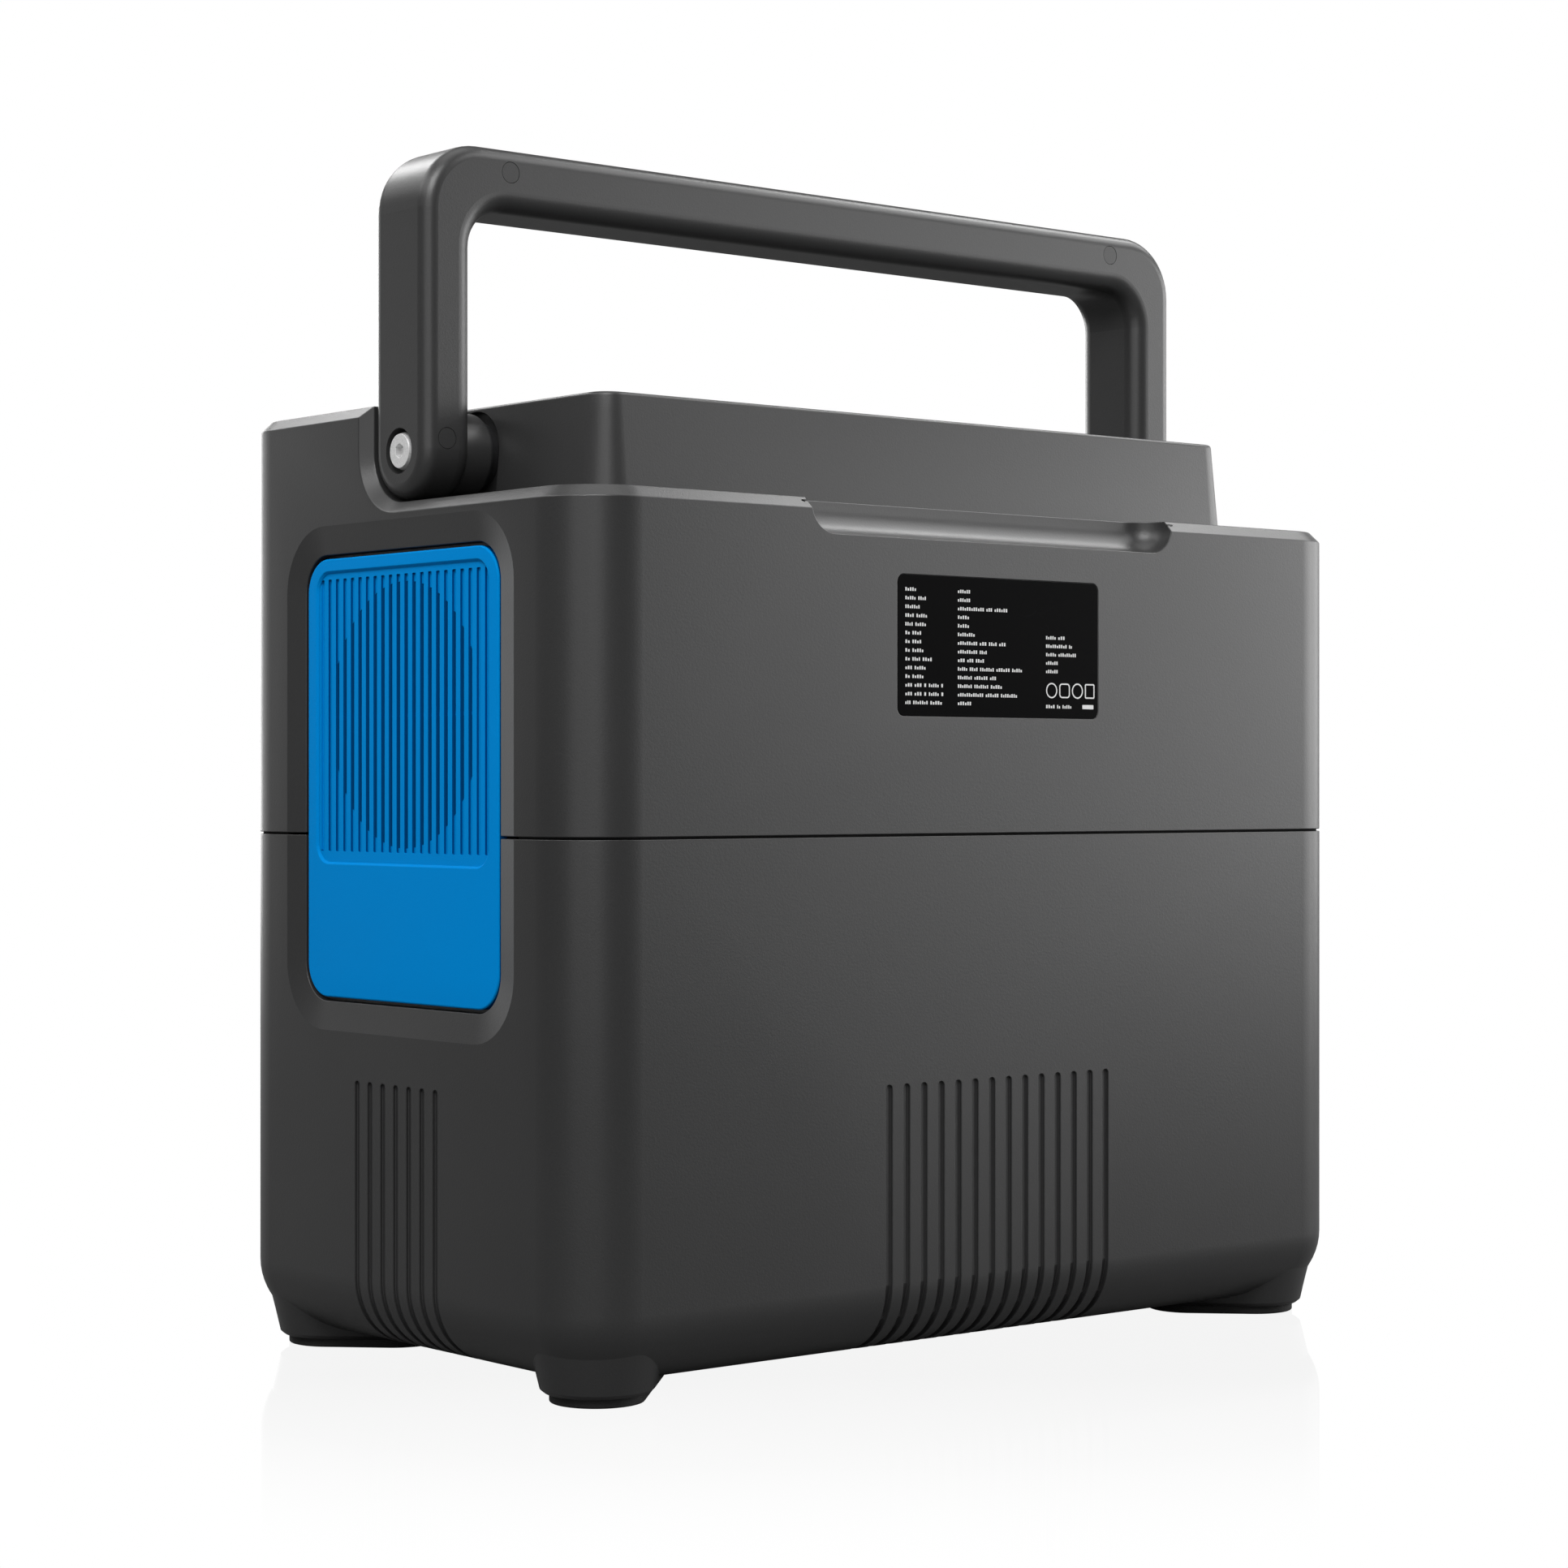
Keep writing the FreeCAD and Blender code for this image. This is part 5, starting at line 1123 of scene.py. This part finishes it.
    def digit(self, sheet: PrintSheet, x: float, z: float, parts: tuple[int, ...]) -> None:
        """Light the parts of one seven-part digit.

        Args:
            sheet: the marks to add to.
            x: the digit's left.
            z: the digit's middle.
            parts: lit parts, 0 the top, then clockwise, and 6 the middle.
        """
        wide, tall, line = 5.6 * MM, 11.0 * MM, 1.0 * MM
        half = tall / 2
        places = {
            0: (x + line, z + half - line, wide - 2 * line, line),
            1: (x + wide - line, z + line * 0.3, line, half - line * 1.3),
            2: (x + wide - line, z - half + line, line, half - line * 1.3),
            3: (x + line, z - half, wide - 2 * line, line),
            4: (x, z - half + line, line, half - line * 1.3),
            5: (x, z + line * 0.3, line, half - line * 1.3),
            6: (x + line, z - line / 2, wide - 2 * line, line),
        }
        for part in parts:
            sheet.bar(*places[part], 0.2 * MM)


@dataclass
class Insides:
    """The battery and the power electronics.

    Attributes:
        kinds: node name to finish.
    """

    kinds: dict[str, Kind] = field(default_factory=lambda: {
        "battery_cells_front": Kind.CELL, "battery_cells_rear": Kind.CELL,
        "cell_holder_front": Kind.HOLDER, "cell_holder_middle": Kind.HOLDER,
        "cell_holder_rear": Kind.HOLDER, "busbar_front": Kind.NICKEL, "busbar_rear": Kind.NICKEL,
        "bms_board": Kind.BOARD, "battery_links": Kind.COPPER, "chassis_tray": Kind.ALUMINIUM,
        "inverter_board": Kind.BOARD, "heat_sink_front": Kind.ALUMINIUM,
        "heat_sink_rear": Kind.ALUMINIUM, "transformer": Kind.FERRITE, "output_choke": Kind.FERRITE,
        "bulk_capacitors": Kind.CAN})

    def build(self) -> list[bpy.types.Object]:
        """Dress what lies inside the case.

        Returns:
            The pieces.
        """
        return [dress_node(name, kind) for name, kind in self.kinds.items()]


# --- stage ----------------------------------------------------------------------------------------
@dataclass(frozen=True)
class SoftLight:
    """One rectangular soft light that faces the object.

    Attributes:
        name: the light's name.
        round: its direction round the object in degrees, from +X towards +Y.
        rise: its elevation in degrees.
        width: its size across.
        height: its size up.
        power: its power in watts.
        centre: the point it faces.
        reach: its distance from that point.
    """

    name: str
    round: float
    rise: float
    width: float
    height: float
    power: float
    centre: Colour = (0.0, 0.0, 0.18)
    reach: float = 2.2

    def build(self) -> bpy.types.Object:
        """Set the light up.

        Returns:
            The light.
        """
        data = bpy.data.lights.new(self.name, "AREA")
        data.shape = "RECTANGLE"
        data.size = self.width
        data.size_y = self.height
        data.energy = self.power
        light = bpy.data.objects.new(self.name, data)
        along, up = math.radians(self.round), math.radians(self.rise)
        away = Vector((math.cos(along) * math.cos(up), math.sin(along) * math.cos(up), math.sin(up)))
        light.location = Vector(self.centre) + self.reach * away
        light.rotation_euler = (-away).to_track_quat("-Z", "Y").to_euler()
        light.visible_camera = False
        bpy.context.scene.collection.objects.link(light)
        return light


@dataclass
class Studio:
    """The pale floor, the soft lights, the surroundings and the camera.

    Attributes:
        eye: the camera's place.
        facing: the way it looks.
        lens: its focal length in mm.
        floor_size: the floor's side.
        floor_bounce: how much light the floor gives back to the object.
        sheen: the share of the floor's mirror image.
        sheen_roughness: its roughness.
        sheen_reach: where it fades out towards the camera.
        sheen_radius: where it fades out round the object.
        fill: the strength of the light from all round.
        lights: the soft lights.
    """

    eye: Colour = (0.7306, 0.8678, 0.177)
    facing: Colour = (-0.6393, -0.7690, 0.0)
    lens: float = 79.4
    floor_size: float = 60.0
    floor_bounce: float = 0.15
    sheen: float = 0.1
    sheen_roughness: float = 0.03
    sheen_reach: tuple[float, float] = (0.1, 0.36)
    sheen_radius: tuple[float, float] = (0.24, 0.38)
    fill: float = 0.2
    lights: tuple[SoftLight, ...] = (
        SoftLight("corner_high_bank", 45, 42, 1.2, 0.9, 34.0),
        SoftLight("far_bank", 155, 8, 0.85, 0.9, 14.6),
        SoftLight("far_high_bank", 170, 42, 1.2, 0.9, 12.7),
        SoftLight("overhead", 0, 89, 1.6, 1.6, 12.5),
        SoftLight("front_bank", -100, 8, 0.85, 0.9, 11.1),
        SoftLight("right_high_bank", 130, 42, 1.2, 0.9, 10.3),
        SoftLight("side_high_bank", 0, 42, 1.2, 0.9, 10.0),
        SoftLight("side_far_high_bank", -45, 42, 1.2, 0.9, 9.7),
        SoftLight("right_far_bank", 180, 8, 0.85, 0.9, 7.4),
        SoftLight("right_bank", 130, 8, 0.85, 0.9, 5.7),
        SoftLight("front_high_bank", -90, 42, 1.2, 0.9, 5.5),
        SoftLight("camera_bank", 50, 8, 0.85, 0.9, 3.7),
        SoftLight("ridge_bank", 25, 8, 0.85, 0.9, 3.2),
        SoftLight("rear_rim_bank", 182, 51, 0.5, 0.4, 6.0),
        SoftLight("side_rim_bank", -90, 40, 0.5, 0.4, 5.0),
        SoftLight("side_bank", -74, 6, 0.85, 0.9, 3.2),
    )

    def build(self) -> None:
        """Set the stage."""
        self.lay_floor()
        self.surround()
        for light in self.lights:
            light.build()
        self.aim_camera()
        bpy.context.scene.view_settings.view_transform = "Standard"

    def lay_floor(self) -> bpy.types.Object:
        """Lay the floor with a faint sheen.

        Returns:
            The floor.
        """
        work = bmesh.new()
        bmesh.ops.create_grid(work, x_segments=1, y_segments=1, size=self.floor_size / 2)
        mesh = bpy.data.meshes.new("floor")
        work.to_mesh(mesh)
        work.free()
        material = bpy.data.materials.new("pale_floor")
        material.use_nodes = True
        material.node_tree.nodes.clear()
        graph = Graph(material.node_tree)
        seen = graph.add("ShaderNodeLightPath").outputs["Is Camera Ray"]
        pale = graph.add("ShaderNodeEmission", {"Color": WHITE, "Strength": 1.0})
        sheen = graph.add("ShaderNodeBsdfGlossy", {"Color": WHITE, "Roughness": self.sheen_roughness})
        dim = graph.add("ShaderNodeBsdfDiffuse", {"Color": rgba((self.floor_bounce,) * 3)})
        shown = graph.choose(self.sheen_fade(graph), pale, sheen)
        graph.close("ShaderNodeOutputMaterial", graph.choose(seen, dim, shown))
        mesh.materials.append(material)
        floor = link_piece("floor", mesh)
        return floor

    def sheen_fade(self, graph: Graph) -> bpy.types.NodeSocket:
        """Fade the floor's sheen away from the object, and sooner towards the camera.

        Args:
            graph: the floor material's graph.

        Returns:
            The sheen's share.
        """
        place = graph.add("ShaderNodeTexCoord").outputs["Object"]
        towards = graph.add("ShaderNodeVectorMath", operation="DOT_PRODUCT")
        graph.feed(towards.inputs[0], place)
        towards.inputs[1].default_value = tuple(-value for value in self.facing)
        away = graph.add("ShaderNodeVectorMath", operation="LENGTH")
        graph.feed(away.inputs[0], place)
        near = graph.span(away.outputs["Value"], *self.sheen_radius, 1.0, 0.0)
        return graph.math("MULTIPLY", near, graph.span(towards.outputs["Value"], *self.sheen_reach,
                                                       self.sheen, 0.0))

    def surround(self) -> None:
        """Show a white backdrop, and light the object with little but the soft lights."""
        world = bpy.data.worlds.new("studio")
        bpy.context.scene.world = world
        world.use_nodes = True
        world.node_tree.nodes.clear()
        graph = Graph(world.node_tree)
        backdrop = graph.add("ShaderNodeBackground", {"Color": WHITE, "Strength": 1.0})
        fill = graph.add("ShaderNodeBackground", {"Color": WHITE, "Strength": self.fill})
        path = graph.add("ShaderNodeLightPath")
        shown = graph.math("MAXIMUM", path.outputs["Is Camera Ray"],
                           graph.math("MULTIPLY", path.outputs["Is Glossy Ray"], self.behind(graph)))
        graph.close("ShaderNodeOutputWorld", graph.choose(shown, fill, backdrop))

    def behind(self, graph: Graph) -> bpy.types.NodeSocket:
        """Find the part of the backdrop that the floor mirrors, low and behind the object.

        Args:
            graph: the surroundings' graph.

        Returns:
            1 inside that part and 0 elsewhere.
        """
        ray = graph.add("ShaderNodeTexCoord").outputs["Generated"]
        ahead = graph.add("ShaderNodeVectorMath", operation="DOT_PRODUCT")
        graph.feed(ahead.inputs[0], ray)
        ahead.inputs[1].default_value = self.facing
        height = graph.add("ShaderNodeSeparateXYZ", {"Vector": ray}).outputs["Z"]
        low = graph.span(height, 0.03, 0.08)
        high = graph.span(height, 0.32, 0.45, 1.0, 0.0)
        wide = graph.span(ahead.outputs["Value"], 0.82, 0.92)
        return graph.math("MULTIPLY", wide, graph.math("MULTIPLY", low, high))

    def aim_camera(self) -> bpy.types.Object:
        """Set the camera.

        Returns:
            The camera.
        """
        data = bpy.data.cameras.new("camera")
        data.sensor_width = 36.0
        data.sensor_fit = "HORIZONTAL"
        data.lens = self.lens
        data.clip_start = 0.01
        data.clip_end = 100.0
        camera = bpy.data.objects.new("camera", data)
        camera.location = self.eye
        camera.rotation_euler = Vector(self.facing).to_track_quat("-Z", "Y").to_euler()
        bpy.context.scene.collection.objects.link(camera)
        bpy.context.scene.camera = camera
        return camera


def main() -> None:
    """Build the looks in order and report each piece."""
    logging.basicConfig(level=logging.INFO, format="%(name)s: %(message)s")
    for assembly in (CaseShells(), CarryHandle(), SideGrilles(), RatingPlate(), SocketPanel(), Insides()):
        for piece in assembly.build():
            logger.info("%s: %s", type(assembly).__name__, piece.name)
    Studio().build()


if __name__ == "__main__":
    main()
